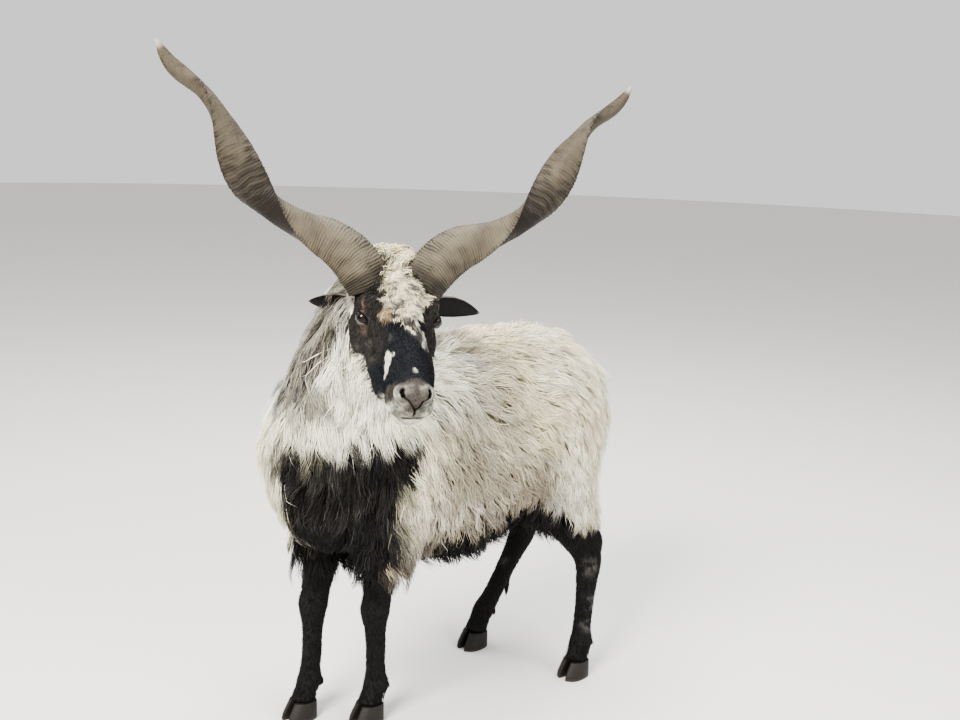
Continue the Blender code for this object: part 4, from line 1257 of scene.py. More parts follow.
@dataclass(frozen=True)
class Claws:
    """Eight claws: rounded toes on flat soles."""

    feet: dict[str, tuple[float, float]] = field(default_factory=lambda: {
        "front_left": (0.014, -0.186), "front_right": (-0.078, -0.280),
        "hind_left": (0.136, 0.274), "hind_right": (-0.105, 0.202)})
    sole: Rows = (
        (-0.50, 0.00), (-0.48, 0.75), (-0.30, 0.98), (0.00, 1.00), (0.28, 0.82), (0.45, 0.42),
        (0.50, 0.12), (0.40, 0.02), (0.00, 0.00), (-0.30, 0.00),
    )
    length: float = 0.062
    width: float = 0.0245
    split: float = 0.0016
    splay: float = math.radians(5)
    lead: float = 0.010
    top: float = 0.0363
    band_rate: float = 1500

    def build(self) -> None:
        """All claws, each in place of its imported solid."""
        closed = self.sole + (self.sole[0],)
        outline = dense_rows(closed, 5)
        for foot, (foot_x, foot_y) in self.feet.items():
            outside = 1 if foot.endswith("left") else -1
            for word, hand in (("outer", outside), ("inner", -outside)):

                def place(u: Array, v: Array, hand: int = hand,
                          x0: float = foot_x, y0: float = foot_y) -> Array:
                    row = read_rows(outline, u)
                    high = v * self.top
                    levels = (0, 0.0012, 0.010, 0.022, self.top)
                    scale = np.interp(high, levels, (0.965, 1.0, 0.975, 0.875, 0.74))
                    scale = scale + 0.006 * np.sin(high * self.band_rate) * rise(0, 0.004, high)
                    back = np.interp(high, (0, 0.010, self.top), (0, 0.001, 0.009))
                    ahead = row[:, 0]
                    spread = (ahead + 0.5) * self.length * scale * math.tan(self.splay)
                    aside = self.split + np.maximum(row[:, 1], 0) * self.width * (scale + 1) / 2 + spread
                    down = back - ahead * self.length * scale - self.lead
                    return columns(x0 + hand * aside, y0 + down, high)

                claw = rolled(f"claw_{foot}_{word}", place, 50, 24)
                points = mesh_rows(claw.data)
                bands = 0.5 + 0.5 * np.sin(points[:, 2] * self.band_rate)
                tone = np.array((0.017, 0.0145, 0.0125)) * (0.7 + 0.6 * bands[:, None])
                earth = 0.35 * rise(0.008, 0.0, points[:, 2])
                set_tone(claw.data, mixed(tone, (0.10, 0.08, 0.06), earth))
                dress(claw, CLAW, f"hoof_{foot}_{word}")


@dataclass(frozen=True)
class Style:
    """How the coat lies round a place on the body."""

    place: Triple
    way: Triple
    length: float
    depth: float
    wave: float = 0.003
    clump: float = 0.75
    reach: float = 0.09
    droop: float = 0.004


class Comb:
    """Lays tufts over a skin: each follows the surface, lifts off it and draws into its lock."""

    def __init__(self, skin: Thing, way: Rule) -> None:
        """Keeps the skin's surface and the rule for the coat's lie."""
        self.tree = BVHTree.FromObject(skin, bpy.context.evaluated_depsgraph_get())
        self.way = way

    def nearest(self, points: Array) -> tuple[Array, Array]:
        """The skin's closest points and normals."""
        found = [self.tree.find_nearest(row)[:2] for row in points]
        spots = np.array([tuple(spot) for spot, _ in found])
        return spots, np.array([tuple(normal) for _, normal in found])

    def paths(self, roots: Array, length: Array, depth: Array, sway: Array,
              shares: Array) -> tuple[Array, Array, Array]:
        """Middle lines that follow the skin.

        Args:
            roots: Where they start.
            length: How long each is.
            depth: How high each rises off the skin.
            sway: How far each turns from the lie, as an angle.
            shares: Where along them points are wanted.

        Returns:
            Points, sideways ways and outward ways, for each line and share.
        """
        count, rings = len(roots), len(shares)
        path = np.empty((count, rings, 3))
        sink = np.minimum(0.004, 0.45 * depth)
        aside, outward = np.empty_like(path), np.empty_like(path)
        points = roots
        for i, share in enumerate(shares):
            spots, normals = self.nearest(points)
            if i:
                normals = unit(normals + outward[:, i - 1])
            way = self.way(spots)
            way = unit(way - normals * (way * normals).sum(axis=1)[:, None])
            across = np.cross(way, normals)
            angle = sway * (0.4 + share)
            way = way * np.cos(angle)[:, None] + across * np.sin(angle)[:, None]
            across = np.cross(way, normals)
            height = depth * rise(-0.12, 0.75, np.full(count, share)) - sink * (1 - share)
            path[:, i] = spots + normals * height[:, None]
            aside[:, i], outward[:, i] = across, normals
            if i + 1 < rings:
                points = spots + way * (length * (shares[i + 1] - share))[:, None]
        return path, aside, outward


def tuft_mesh(name: str, path: Array, aside: Array, outward: Array, width: Array, thick: Array,
              tone: Array, patches: Array) -> Thing:
    """Closed three-sided tufts along middle lines, in one mesh.

    Args:
        name: The piece's name.
        path: Points for each tuft and ring, the last being its tip.
        aside: Sideways ways.
        outward: Outward ways.
        width: Half widths for each tuft and ring.
        thick: Heights for each tuft and ring.
        tone: Colours for each tuft and ring.
        patches: Where each tuft's root lies on the skin's unwrap.

    Returns:
        The piece.
    """
    count, rings = path.shape[:2]
    body = rings - 1
    per = body * 3 + 1
    points = np.empty((count, per, 3), np.float32)
    left = path[:, :body] - aside[:, :body] * width[:, :body, None]
    right = path[:, :body] + aside[:, :body] * width[:, :body, None]
    top = path[:, :body] + outward[:, :body] * thick[:, :body, None]
    points[:, 0:body * 3:3], points[:, 1:body * 3:3], points[:, 2:body * 3:3] = left, right, top
    points[:, -1] = path[:, -1]
    quads = []
    for ring in range(body - 1):
        for k in range(3):
            a, b = ring * 3 + k, ring * 3 + (k + 1) % 3
            quads.append((a, b, b + 3, a + 3))
    last = (body - 1) * 3
    points_of = [(last + k, last + (k + 1) % 3, per - 1) for k in range(3)] + [(2, 1, 0)]
    corners = np.array([i for face in quads + points_of for i in face])
    sizes = np.array([4] * len(quads) + [3] * len(points_of))
    loops = (corners[None] + (np.arange(count) * per)[:, None]).ravel()
    totals = np.tile(sizes, count)
    starts = np.concatenate([[0], np.cumsum(totals)[:-1]])
    mesh = bpy.data.meshes.new(name)
    mesh.vertices.add(count * per)
    mesh.vertices.foreach_set("co", points.ravel())
    mesh.loops.add(len(loops))
    mesh.loops.foreach_set("vertex_index", loops.astype(np.int32))
    mesh.polygons.add(len(totals))
    mesh.polygons.foreach_set("loop_start", starts.astype(np.int32))
    mesh.update(calc_edges=True)
    colours = np.empty((count, per, 3))
    for k in range(3):
        colours[:, k:body * 3:3] = tone[:, :body]
    colours[:, -1] = tone[:, -1]
    set_tone(mesh, colours.reshape(-1, 3))
    ring_of = np.concatenate([np.repeat(np.arange(body), 3), [body]]) / body
    side_of = np.concatenate([np.tile(np.arange(3), body) / 2, [0.5]])
    local = columns(side_of, ring_of) * PATCH - PATCH / 2
    spread = (patches[:, None] + local[None]).reshape(-1, 2)
    layer = mesh.uv_layers.new(name="OFBake")
    layer.data.foreach_set("uv", np.clip(spread[loops], 0, 1).astype(np.float32).ravel())
    piece = bpy.data.objects.new(name, mesh)
    bpy.context.scene.collection.objects.link(piece)
    return piece


def scatter(skin: Thing, count: int, seed: int,
            keep: PairRule) -> tuple[Array, Array]:
    """Random points over a skin.

    Args:
        skin: The skin.
        count: How many tries are made.
        seed: Which random draw.
        keep: Gives each point's chance to stay, from its place and normal.

    Returns:
        The points that stay and their normals.
    """
    mesh = skin.data
    mesh.calc_loop_triangles()
    corners = np.empty(len(mesh.loop_triangles) * 3, np.int32)
    mesh.loop_triangles.foreach_get("vertices", corners)
    corners = corners.reshape(-1, 3)
    points, normals = mesh_rows(mesh), mesh_rows(mesh, "normal")
    a, b, c = (points[corners[:, k]] for k in range(3))
    area = np.linalg.norm(np.cross(b - a, c - a), axis=1)
    draw = np.random.default_rng(seed)
    chosen = draw.choice(len(corners), size=count, p=area / area.sum())
    u, v = draw.random(count), draw.random(count)
    over = u + v > 1
    u[over], v[over] = 1 - u[over], 1 - v[over]
    spots = a[chosen] + (b - a)[chosen] * u[:, None] + (c - a)[chosen] * v[:, None]
    ways = unit(normals[corners[chosen]].mean(axis=1))
    stays = draw.random(count) < keep(spots, ways)
    return spots[stays], ways[stays]


# Place, way, length, depth, wave, clump, reach and droop of the coat round each place
STYLES = tuple(Style(*row) for row in (
    ((0.00, -0.14, 0.74), (0.0, 1.0, -0.05), 0.075, 0.030, 0.003, 0.55),
    ((0.06, 0.05, 0.73), (0.55, 1.0, -0.25), 0.065, 0.030, 0.004, 0.6),
    ((0.05, 0.22, 0.72), (0.45, 1.0, -0.30), 0.075, 0.031, 0.003, 0.55),
    ((0.04, 0.34, 0.68), (0.35, 0.8, -0.70), 0.078, 0.031, 0.0035, 0.6),
    ((0.11, 0.32, 0.58), (0.25, 0.45, -1.0), 0.085, 0.032, 0.004, 0.6),
    ((0.04, 0.39, 0.52), (0.25, 0.10, -1.0), 0.085, 0.030, 0.004, 0.65),
    ((0.13, 0.24, 0.45), (0.05, 0.25, -1.0), 0.075, 0.028, 0.0035, 0.6),
    ((0.12, 0.17, 0.38), (0.0, 0.20, -1.0), 0.032, 0.010, 0.001, 0.4, 0.045),
    ((0.13, 0.26, 0.34), (0.0, 0.15, -1.0), 0.040, 0.012, 0.001, 0.5, 0.05),
    ((0.14, 0.05, 0.64), (0.10, 0.95, -0.60), 0.068, 0.032, 0.0045, 0.6),
    ((0.16, 0.05, 0.54), (0.0, 0.85, -0.75), 0.070, 0.033, 0.005, 0.6),
    ((0.14, 0.06, 0.46), (-0.05, 0.60, -0.90), 0.070, 0.032, 0.005, 0.6),
    ((0.13, -0.12, 0.62), (0.15, 0.55, -0.90), 0.075, 0.032, 0.0045, 0.6),
    ((0.13, -0.15, 0.50), (0.0, 0.35, -1.0), 0.085, 0.033, 0.004, 0.6),
    ((0.10, -0.14, 0.39), (0.10, 0.35, -1.0), 0.074, 0.030, 0.005, 0.6, 0.05, 0.006),
    ((0.00, -0.36, 0.55), (0.0, -0.10, -1.0), 0.105, 0.034, 0.0035, 0.65),
    ((0.06, -0.32, 0.45), (0.03, -0.05, -1.0), 0.085, 0.032, 0.0035, 0.65),
    ((0.00, -0.28, 0.38), (0.0, 0.10, -1.0), 0.048, 0.026, 0.0035, 0.65, 0.07),
    ((0.00, 0.02, 0.35), (0.0, 0.45, -0.80), 0.086, 0.056, 0.003, 0.6, 0.09, 0.036),
    ((0.09, -0.03, 0.38), (0.05, 0.30, -1.0), 0.085, 0.046, 0.003, 0.6, 0.06, 0.034),
    ((0.08, 0.13, 0.39), (0.05, 0.30, -1.0), 0.082, 0.036, 0.003, 0.6, 0.05, 0.028),
    ((0.05, -0.34, 0.66), (0.05, -0.12, -1.0), 0.102, 0.034, 0.003, 0.70),
    ((0.06, -0.33, 0.76), (-0.10, -0.10, -1.0), 0.100, 0.030, 0.0025, 0.65, 0.07),
    ((0.00, -0.20, 0.76), (-0.45, 0.15, -1.0), 0.078, 0.030, 0.008, 0.7, 0.07),
    ((0.03, -0.17, 0.84), (-0.55, 0.20, -1.0), 0.060, 0.024, 0.008, 0.7, 0.06),
    ((0.12, -0.25, 0.72), (0.10, 0.05, -1.0), 0.105, 0.032, 0.0025, 0.65, 0.07),
    ((0.10, -0.16, 0.80), (-0.10, 0.55, -1.0), 0.080, 0.028, 0.0025, 0.6, 0.06),
))


@dataclass(frozen=True)
class Locks:
    """Middles of the coat's locks on the skin, and how each lock differs from its neighbours."""

    hubs: Array
    normals: Array
    styles: Array
    grow: Array
    sway: Array
    phase: Array
    lift: Array


# The style table's columns after place and way
LENGTH, DEPTH, WAVE, CLUMP, REACH, DROOP = range(6, 12)


class Fleece:
    """The long coat of trunk, neck and tail."""

    tries = 92000
    lock_tries = 20000
    spacing = 0.0150
    strays = 0.07
    wave_length = 0.042
    girths = (0.00085, 0.00145)
    flatness = 0.55
    colour_height = 0.02
    shares = np.array((0.0, 0.26, 0.52, 0.78, 1.0))

    def __init__(self, skin: Thing) -> None:
        """Reads the styles into tables, mirrored to the other side."""
        rows = []
        for style in STYLES:
            sides = (1, -1) if abs(style.place[0]) > 0.025 and style.place[2] < 0.74 else (1,)
            for hand in sides:
                flip = np.array((hand, 1, 1))
                rows.append(np.concatenate([
                    np.array(style.place) * flip, np.array(style.way) * flip,
                    (style.length, style.depth, style.wave, style.clump, style.reach, style.droop)]))
        self.table = np.array(rows)
        self.skin = skin
        self.comb = Comb(skin, self.lie)

    def blend(self, points: Array) -> Array:
        """The styles' columns mixed by nearness."""
        away = np.linalg.norm(points[:, None] - self.table[None, :, :3], axis=2)
        share = np.exp(-((away / self.table[None, :, REACH]) ** 2)) + 1e-9
        return (share / share.sum(axis=1, keepdims=True)) @ self.table

    def lie(self, points: Array) -> Array:
        """The way that the coat lies, with slow swirls."""
        return unit(unit(self.blend(points)[:, 3:6]) + swirl(points, 0.07, 31) * 0.16)

    @staticmethod
    def chance(points: Array, normals: Array) -> Array:
        """Where long wool grows: not on the legs nor inside the head."""
        x, y, z = points.T
        low = np.where(y < 0.04, rise(0.345, 0.370, z), rise(0.335, 0.375, z))
        tail = (y > 0.40) & (z > 0.38)
        local = in_head(points)
        head = rise(-0.070, -0.085, local[:, 2])
        head = np.maximum(head, rise(0.015, 0.030, local[:, 1]))
        cheek = rise(0.060, 0.067, np.abs(local[:, 0])) * rise(-0.060, -0.045, local[:, 1])
        head = np.maximum(head, cheek * rise(-0.062, -0.070, local[:, 2]))
        under = rise(-0.2, -0.7, normals[:, 2]) * 0.35
        fore = rise(-0.16, -0.24, y)
        return np.where(tail, 0.6, low * head * (0.57 + 0.43 * fore)) * (1 - under)

    @staticmethod
    def piece_of(points: Array, normals: Array) -> Array:
        """The number of the coat piece that each root belongs to."""
        x, y, z = points.T
        neck = (z > 0.62) & (y < -0.12) & ((z > 0.735) | (y < -0.22))
        pieces = list(Coat)
        made = np.where(x > 0, pieces.index(Coat.LEFT_FLANK), pieces.index(Coat.RIGHT_FLANK))
        made = np.where(normals[:, 2] > 0.55, pieces.index(Coat.BACK), made)
        made = np.where(y > 0.235, pieces.index(Coat.RUMP), made)
        made = np.where((normals[:, 2] < -0.5) & (z < 0.45), pieces.index(Coat.BELLY), made)
        made = np.where((y < -0.25) & (z <= 0.62), pieces.index(Coat.BREAST), made)
        ruff = neck & ((x - neck_middle(z)) * 0.6 - (y + 0.245) * 0.8 > 0)
        made = np.where(neck, pieces.index(Coat.MANE), made)
        return np.where(ruff, pieces.index(Coat.RUFF), made)

    @staticmethod
    def unwrap(points: Array) -> Array:
        """Where roots lie on an unwrap of the body: angle round its axis, and distance along it."""
        x, y, z = points.T
        high = rise(0.60, 0.72, z) * rise(-0.05, -0.15, y)
        angle = np.arctan2(x, z - 0.55) / (2 * math.pi) + 0.5
        trunk = columns(angle * 0.66 + 0.01, (y + 0.42) / 0.92 * 0.98 + 0.01)
        turn = np.arctan2(x - 0.06, -(y + 0.245)) / (2 * math.pi) + 0.5
        neck = columns(turn * 0.30 + 0.69, (z - 0.55) / 0.42 * 0.98 + 0.01)
        return np.where((high > 0.5)[:, None], neck, trunk)

    def locks(self, draw: np.random.Generator) -> Locks:
        """Spreads the locks over the skin and draws how each differs."""
        hubs, _ = scatter(self.skin, self.lock_tries, SEED + 1, lambda p, n: np.ones(len(p)))
        hubs = self.thinned(hubs)
        count = len(hubs)
        return Locks(hubs, self.comb.nearest(hubs)[1], self.blend(hubs), draw.uniform(0.85, 1.15, count),
                     draw.normal(0, 0.15, count), draw.uniform(0, 2 * math.pi, count),
                     draw.uniform(0.82, 1.18, count))

    def combed(self, roots: Array, owner: Array, locks: Locks,
               draw: np.random.Generator) -> tuple[Array, Array, Array]:
        """Middle lines of the tufts, drawn together into their locks and waved.

        Args:
            roots: Where the tufts start.
            owner: The number of each tuft's lock.
            locks: The locks.
            draw: The random draws.

        Returns:
            Points, sideways ways and outward ways, for each tuft and share.
        """
        count, styles = len(roots), self.blend(roots)
        guide, _, _ = self.comb.paths(locks.hubs, locks.styles[:, LENGTH] * locks.grow,
                                      locks.styles[:, DEPTH] * locks.lift, locks.sway, self.shares)
        stray = draw.random(count) < self.strays
        length = styles[:, LENGTH] * locks.grow[owner] * draw.uniform(0.80, 1.08, count)
        depth = styles[:, DEPTH] * locks.lift[owner] * draw.uniform(0.72, 1.05, count)
        depth = np.where(stray, depth * 1.18, depth)
        sway = locks.sway[owner] + draw.normal(0, np.where(stray, 0.40, 0.14))
        short = 0.28 + 0.72 * rise(0.010, 0.056, self.from_ears(roots[:, None]))
        length, depth = length * short, depth * short
        path, aside, outward = self.comb.paths(roots, length, depth, sway, self.shares)
        pull = styles[:, CLUMP] * np.where(stray, 0.25, 1.0) * draw.uniform(0.8, 1.1, count)
        share = (pull * short)[:, None] * rise(0.10, 0.95, self.shares)[None]
        offset = (roots - locks.hubs[owner])[:, None] * 0.40
        path = path + (guide[owner] + offset - path) * np.clip(share, 0, 1)[..., None]
        beat = 2 * math.pi * length[:, None] * self.shares[None] / self.wave_length
        beat = beat + (locks.phase[owner] + draw.normal(0, 0.5, count))[:, None]
        curl = styles[:, WAVE, None] * np.sin(beat) * rise(0.05, 0.5, self.shares)[None]
        lift = 0.35 * styles[:, WAVE, None] * np.cos(beat) * rise(0.2, 0.6, self.shares)[None]
        path = path + aside * curl[..., None] + outward * lift[..., None]
        path[..., 2] -= styles[:, DROOP, None] * self.shares[None] ** 1.6
        return path, aside, outward

    def coloured(self, roots: Array, owner: Array, locks: Locks, draw: np.random.Generator) -> Array:
        """Colours of the tufts, from the markings over root and lock, uneven from tuft to tuft, with painted
        shade towards the roots.

        Args:
            roots: Points a little over the tufts' roots.
            owner: The number of each tuft's lock.
            locks: The locks.
            draw: The random draws.

        Returns:
            A colour for each tuft and share.
        """
        hubs = locks.hubs + locks.normals * self.colour_height
        base = 0.55 * MARKINGS.body(roots) + 0.45 * MARKINGS.body(hubs)[owner]
        warm = draw.normal(0, 1, len(hubs))[owner][:, None] * np.array((0.010, 0.0, -0.030))
        base = base * (1 + warm)
        dark = rise(0.30, 0.05, base.mean(axis=1))
        uneven = draw.normal(0, 1, len(roots)) * (0.065 + 0.38 * dark)
        uneven = uneven + draw.normal(0, 1, len(hubs))[owner] * (0.05 + 0.25 * dark)
        # Darker at the root and lighter at the tip: painted shade deep in the coat
        fade = np.interp(self.shares, (0, 0.4, 0.8, 1.0), (0.90, 0.98, 1.03, 1.05))
        tone = base[:, None] * (np.exp(uneven)[:, None] * fade[None])[..., None]
        return np.clip(tone, 0, 1)

    def build(self) -> None:
        """Grows, combs and colours the coat, one piece at a time."""
        roots, normals = scatter(self.skin, self.tries, SEED, self.chance)
        draw = np.random.default_rng(SEED + 2)
        locks = self.locks(draw)
        tree = tree_of(locks.hubs)
        owner = np.array([tree.find(row)[1] for row in roots])
        path, aside, outward = self.combed(roots, owner, locks, draw)
        girth = draw.uniform(*self.girths, len(roots)) * (1 - 0.24 * rise(-0.16, -0.24, roots[:, 1]))
        width = girth[:, None] * np.interp(self.shares, (0, 0.3, 0.7, 1.0), (0.9, 1.0, 0.72, 0.0))[None]
        thick = width * self.flatness
        tone = self.coloured(roots + normals * self.colour_height, owner, locks, draw)
        clear = np.where(in_head(roots)[:, 2] < -0.080, 0.010, 0.023)
        number = np.where(self.from_ears(path) < clear, -1, self.piece_of(roots, normals))
        flat = self.unwrap(roots)
        for i, kind in enumerate(Coat):
            rows = np.flatnonzero(number == i)
            parts = max(math.ceil(len(rows) * (6 * (len(self.shares) - 2) + 4) / MOST_TRIANGLES), 1)
            for part in range(parts):
                own = rows[part::parts]
                name = kind.value if parts < 2 else f"{kind.value}_{part + 1}"
                piece = tuft_mesh(name, path[own], aside[own], outward[own], width[own], thick[own],
                                  tone[own], flat[own])
                dress(piece, WOOL)

    @staticmethod
    def from_ears(path: Array) -> Array:
        """How near tufts come to an ear."""
        away = np.full(len(path), 1.0)
        ears = Ears()
        for side in Side:
            root, way = ears.frame(side)[:2]
            line = root[None] + np.linspace(0.1, 1.0, 9)[:, None] * way[None] * ears.lengths[side]
            for spot in carried(line, head_matrix()):
                away = np.minimum(away, np.linalg.norm(path - spot, axis=2).min(axis=1))
        return away

    def thinned(self, hubs: Array) -> Array:
        """Lock centres with those too close to another left out."""
        kept: list[Vector] = []
        cells: dict[tuple[int, int, int], list[Vector]] = {}
        for row in hubs:
            spot = Vector(row)
            cell = tuple(int(math.floor(c / self.spacing)) for c in row)
            near = (cells.get((cell[0] + i, cell[1] + j, cell[2] + k), ())
                    for i in (-1, 0, 1) for j in (-1, 0, 1) for k in (-1, 0, 1))
            if any((spot - other).length < self.spacing for group in near for other in group):
                continue
            kept.append(spot)
            cells.setdefault(cell, []).append(spot)
        return np.array([tuple(spot) for spot in kept])


@dataclass(frozen=True)
class ShortHair:
    """A short coat in small flat tufts."""

    name: str
    tries: int
    seed: int
    length: float
    depth: float
    girth: float
    shares: tuple[float, ...] = (0.0, 0.5, 1.0)
    uneven: float = 0.12

    def build(self, skin: Thing, way: Rule,
              chance: PairRule, tone_of: Rule,
              unwrap: Rule, grow: Rule) -> Thing:
        """Grows and colours the hair, with painted shade towards its roots.

        Args:
            skin: The skin it stands on.
            way: The rule for its lie.
            chance: Where it grows.
            tone_of: Its colours.
            unwrap: The skin's unwrap.
            grow: How much longer it is at each root.

        Returns:
            The piece, in the skin's own frame.
        """
        roots, _ = scatter(skin, self.tries, self.seed, chance)
        draw = np.random.default_rng(self.seed + 1)
        longer = grow(roots)
        length = self.length * longer * draw.uniform(0.75, 1.25, len(roots))
        depth = self.depth * longer * draw.uniform(0.6, 1.3, len(roots))
        sway = draw.normal(0, 0.22, len(roots))
        shares = np.array(self.shares)
        path, aside, outward = Comb(skin, way).paths(roots, length, depth, sway, shares)
        width = self.girth * draw.uniform(0.7, 1.3, len(roots))[:, None] * np.interp(
            shares, (0, 0.5, 1), (1.0, 0.8, 0.0))[None]
        base = tone_of(roots)
        shade = np.exp(draw.normal(0.0, self.uneven, len(roots)))
        # Darker at the root and lighter at the tip: painted shade low in the hair
        tone = base[:, None] * (shade[:, None] * np.interp(shares, (0, 1), (0.8, 1.15))[None])[..., None]
        return tuft_mesh(self.name, path, aside, outward, width, width * 0.6, tone, unwrap(roots))


class Legs:
    """The short black hair of the lower legs."""

    def build(self, skin: Thing) -> None:
        """Grows the hair over the legs' skin."""

        def way(points: Array) -> Array:
            return unit(np.array((0, 0.12, -1.0)) + swirl(points, 0.03, 41) * 0.15)

        def chance(points: Array, normals: Array) -> Array:
            return rise(0.46, 0.40, points[:, 2]) * rise(0.034, 0.040, points[:, 2])

        def unwrap(points: Array) -> Array:
            x, y, z = points.T
            leg = (x > -0.03) * 1 + (y > 0.04) * 2
            middle = np.array(((-0.075, -0.255), (0.024, -0.185), (-0.093, 0.26), (0.125, 0.29)))[leg]
            angle = np.arctan2(x - middle[:, 0], y - middle[:, 1]) / (2 * math.pi) + 0.5
            return columns((leg + 0.02 + 0.96 * angle) / 4, z / 0.48)

        def grow(points: Array) -> Array:
            x, y, z = points.T
            middle = np.where(y > 0.04, np.interp(z, (0.034, 0.10, 0.30), (0.240, 0.262, 0.300)), -0.19)
            beyond = np.where(x < -0.03, y + 0.05 * (y < 0.04), y) - middle
            heel = rise(0.11, 0.07, z) * rise(0.0, 0.02, beyond)
            return 1 + 1.8 * rise(0.24, 0.40, z) + 0.7 * rise(0.075, 0.05, z) + 0.9 * heel

        hair = ShortHair("hair_legs", tries=33000, seed=SEED + 5, length=0.0105, depth=0.0022,
                         girth=0.0009, shares=(0.0, 1.0), uneven=0.25)
        dress(hair.build(skin, way, chance, MARKINGS.body, unwrap, grow), LEG_HAIR)


class FaceHair:
    """The short hair of the face, the curls of the brow, the jaw's fringe and the poll's tuft."""

    @staticmethod
    def way(points: Array) -> Array:
        """Hair of the face lies towards the muzzle and down the cheeks."""
        x, y, z = points.T
        ahead = columns(x * 4, -1.0, -0.5 * rise(-0.02, -0.08, z))
        back = columns(x * 8, 0.8, 0.6)
        down = columns(x * 4, 0.45, -1.0)
        poll = rise(-0.034, -0.012, y)[:, None]
        cheek = rise(-0.075, -0.10, z)[:, None] * rise(-0.235, -0.20, y)[:, None]
        brow = rise(-0.135, -0.10, y)[:, None] * rise(-0.05, -0.02, z)[:, None]
        lie = unit(ahead) * (1 - cheek) + unit(down) * cheek
        lie = lie * (1 - poll) + unit(back) * poll
        return unit(lie + swirl(points, 0.014, 51) * (0.15 + 0.70 * brow + 0.30 * poll))

    @staticmethod
    def open_skin(points: Array) -> Array:
        """1 where hair may grow: not on the eyes, in the nostrils or inside the neck and horns."""
        x, y, z = points.T
        free = np.ones(len(points))
        for hand in (-1, 1):
            eye = distance(points, eye_place(hand))
            free *= rise(0.0165, 0.0185, eye)
            horn = distance(points, (hand * 0.052, -0.004, -0.012))
            free *= rise(0.028, 0.034, horn)
            nose = distance(points, (0.0025 + hand * 0.019, -0.273, -0.041))
            free *= rise(0.007, 0.012, nose)
        return free * rise(-0.150, -0.130, z) * np.where(y > 0.02, rise(-0.10, -0.06, z), 1.0)

    @staticmethod
    def unwrap(points: Array) -> Array:
        """Angle round the head's axis, and distance from the nose."""
        x, y, z = points.T
        angle = np.arctan2(x, z + 0.07) / (2 * math.pi) + 0.5
        return columns(angle * 0.98 + 0.01, (y + 0.29) / 0.36 * 0.98 + 0.01)

    def grow(self, hair: ShortHair, skin: Thing, head: Head,
             chance: PairRule, longer: Rule) -> None:
        """Grows one kind of hair on the head and puts it in place."""
        piece = hair.build(skin, self.way, chance, head.tone, self.unwrap, longer)
        piece.data.transform(head_matrix())
        dress(piece, FACE_HAIR)

    def build(self, skin: Thing, head: Head) -> None:
        """Grows every kind over the head's skin, which is in its own frame."""

        def face_chance(points: Array, normals: Array) -> Array:
            return self.open_skin(points) * rise(0.025, 0.005, points[:, 1])

        def face_longer(points: Array) -> Array:
            x, y, z = points.T
            brow = rise(-0.130, -0.095, y) * rise(-0.045, -0.02, z)
            return 1 + 0.8 * brow - 0.45 * rise(-0.22, -0.25, y)

        def brow_chance(points: Array, normals: Array) -> Array:
            x, y, z = points.T
            patch = self.open_skin(points) * rise(-0.150, -0.105, y) * rise(0.0, -0.03, y)
            return patch * rise(-0.040, -0.022, z) * rise(0.062, 0.050, np.abs(x))

        def jaw_chance(points: Array, normals: Array) -> Array:
            x, y, z = points.T
            edge = MARKINGS.edge(MARKINGS.jaw_edge, y)
            return self.open_skin(points) * rise(0.006, -0.002, z - edge) * rise(-0.235, -0.215, y)

        def jaw_longer(points: Array) -> Array:
            return 0.45 + 0.75 * rise(-0.215, -0.15, points[:, 1])

        def poll_chance(points: Array, normals: Array) -> Array:
            x, y, z = points.T
            patch = self.open_skin(points) * rise(-0.036, -0.014, y) * rise(-0.07, -0.03, z)
            return patch * rise(0.075, 0.06, np.abs(x))

        def poll_longer(points: Array) -> Array:
            return 1 - 0.50 * rise(0.0, -0.03, points[:, 1])

        def plain(points: Array) -> Array:
            return np.ones(len(points))

        four = (0, 0.35, 0.7, 1.0)
        kinds = (
            (ShortHair("hair_face", tries=47000, seed=SEED + 8, length=0.0066, depth=0.0011,
                       girth=0.00058, shares=(0, 1.0), uneven=0.20), face_chance, face_longer),
            (ShortHair("curls_brow", tries=16000, seed=SEED + 12, length=0.0115, depth=0.0048,
                       girth=0.00085, shares=four, uneven=0.14), brow_chance, plain),
            (ShortHair("fringe_jaw", tries=9000, seed=SEED + 14, length=0.0230, depth=0.0080,
                       girth=0.0010, shares=four, uneven=0.08), jaw_chance, jaw_longer),
            (ShortHair("tuft_poll", tries=42000, seed=SEED + 15, length=0.036, depth=0.020,
                       girth=0.0012, shares=(0, 0.25, 0.5, 0.75, 1.0), uneven=0.08),
             poll_chance, poll_longer),
        )
        for hair, chance, longer in kinds:
            self.grow(hair, skin, head, chance, longer)


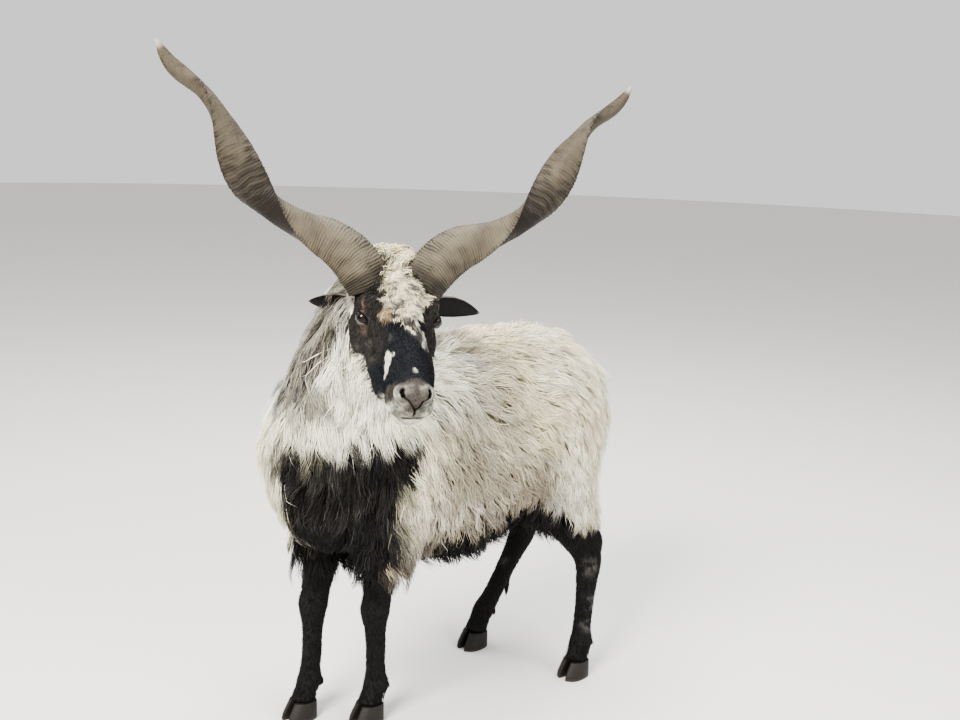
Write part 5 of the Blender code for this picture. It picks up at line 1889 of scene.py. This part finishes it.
@dataclass(frozen=True)
class Studio:
    """Pale floor, soft lights and the camera."""

    place: Triple = (1.7600, -1.5510, 1.200)
    turn: float = math.radians(47)
    tilt: float = math.radians(12.05)
    roll: float = math.radians(2.03)
    lens: float = 45.975

    def camera(self) -> None:
        """The camera at the photograph's viewing angle."""
        ahead = Vector((0, math.cos(self.tilt), -math.sin(self.tilt)))
        right = Vector((1, 0, 0))
        up = right.cross(ahead)
        tipped = right * math.cos(self.roll) + up * math.sin(self.roll)
        lifted = up * math.cos(self.roll) - right * math.sin(self.roll)
        spin = Matrix.Rotation(self.turn, 3, "Z")
        columns = [spin @ tipped, spin @ lifted, spin @ -ahead]
        matrix = Matrix.Translation(Vector(self.place) + packed_shift())
        for row in range(3):
            for column in range(3):
                matrix[row][column] = columns[column][row]
        data = bpy.data.cameras.new("camera")
        data.lens = self.lens
        data.sensor_width = 36
        camera = bpy.data.objects.new("camera", data)
        bpy.context.scene.collection.objects.link(camera)
        camera.matrix_world = matrix
        bpy.context.scene.camera = camera

    def floor(self) -> None:
        """A wide pale floor."""
        deselect()
        bpy.ops.mesh.primitive_circle_add(vertices=96, radius=14, fill_type="NGON", location=(0, 0, -0.0005))
        floor = bpy.context.object
        floor.name = "floor"
        bpy.ops.object.transform_apply(location=True)
        finish = Finish("pale_floor", "", 0.85, colour=(0.72, 0.71, 0.69), reads_tone=False, specular=0.15)
        floor.data.materials.append(finish.material())

    def light(self, name: str, place: Triple, size: float, power: float, colour: Triple) -> None:
        """One large soft light that faces the animal."""
        data = bpy.data.lights.new(name, "AREA")
        data.size = size
        data.energy = power
        data.color = colour
        lamp = bpy.data.objects.new(name, data)
        bpy.context.scene.collection.objects.link(lamp)
        lamp.location = place
        lamp.rotation_mode = "QUATERNION"
        lamp.rotation_quaternion = (Vector((0, 0, 0.6)) - Vector(place)).to_track_quat("-Z", "Y")

    def build(self) -> None:
        """Everything round the animal."""
        world = bpy.data.worlds.new("studio")
        world.use_nodes = True
        back = world.node_tree.nodes["Background"]
        back.inputs["Color"].default_value = (0.86, 0.86, 0.86, 1)
        back.inputs["Strength"].default_value = 0.95
        bpy.context.scene.world = world
        bpy.context.scene.view_settings.look = "AgX - Medium High Contrast"
        self.floor()
        self.light("key", (0.9, -3.0, 3.1), 1.6, 330, (1.0, 0.965, 0.92))
        self.light("fill", (3.2, 0.6, 1.9), 2.4, 90, (0.93, 0.96, 1.0))
        self.light("top", (-0.6, 0.8, 3.4), 2.6, 130, (1.0, 1.0, 1.0))
        self.camera()


def dress_skins() -> None:
    """Builds the hide and everything that grows on it."""
    body = BodySkin()
    trunk = body.build_trunk()
    Fleece(trunk).build()
    legs = body.build_legs()
    Legs().build(legs)
    head = Head()
    face = head.build()
    FaceHair().build(face, head)
    # The face's skin is painted a tenth darker than its markings: painted shade under the hair
    set_tone(face.data, head.tone(mesh_rows(face.data)) * 0.9)
    face.data.transform(head_matrix())
    for part in (trunk, legs):
        set_tone(part.data, MARKINGS.body(mesh_rows(part.data)))
    select([trunk, legs, face])
    bpy.ops.object.join()
    dress(trunk, SKIN, "torso", "neck", "tail", "head", "leg_front_left", "leg_front_right",
          "leg_hind_left", "leg_hind_right")


def main() -> None:
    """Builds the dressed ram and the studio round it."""
    logging.basicConfig(level=logging.INFO, format="%(message)s")
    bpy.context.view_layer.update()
    dress_skins()
    Horns().build()
    Ears().build()
    Eyes(Head()).build()
    Claws().build()
    Studio().build()


if __name__ == "__main__":
    main()
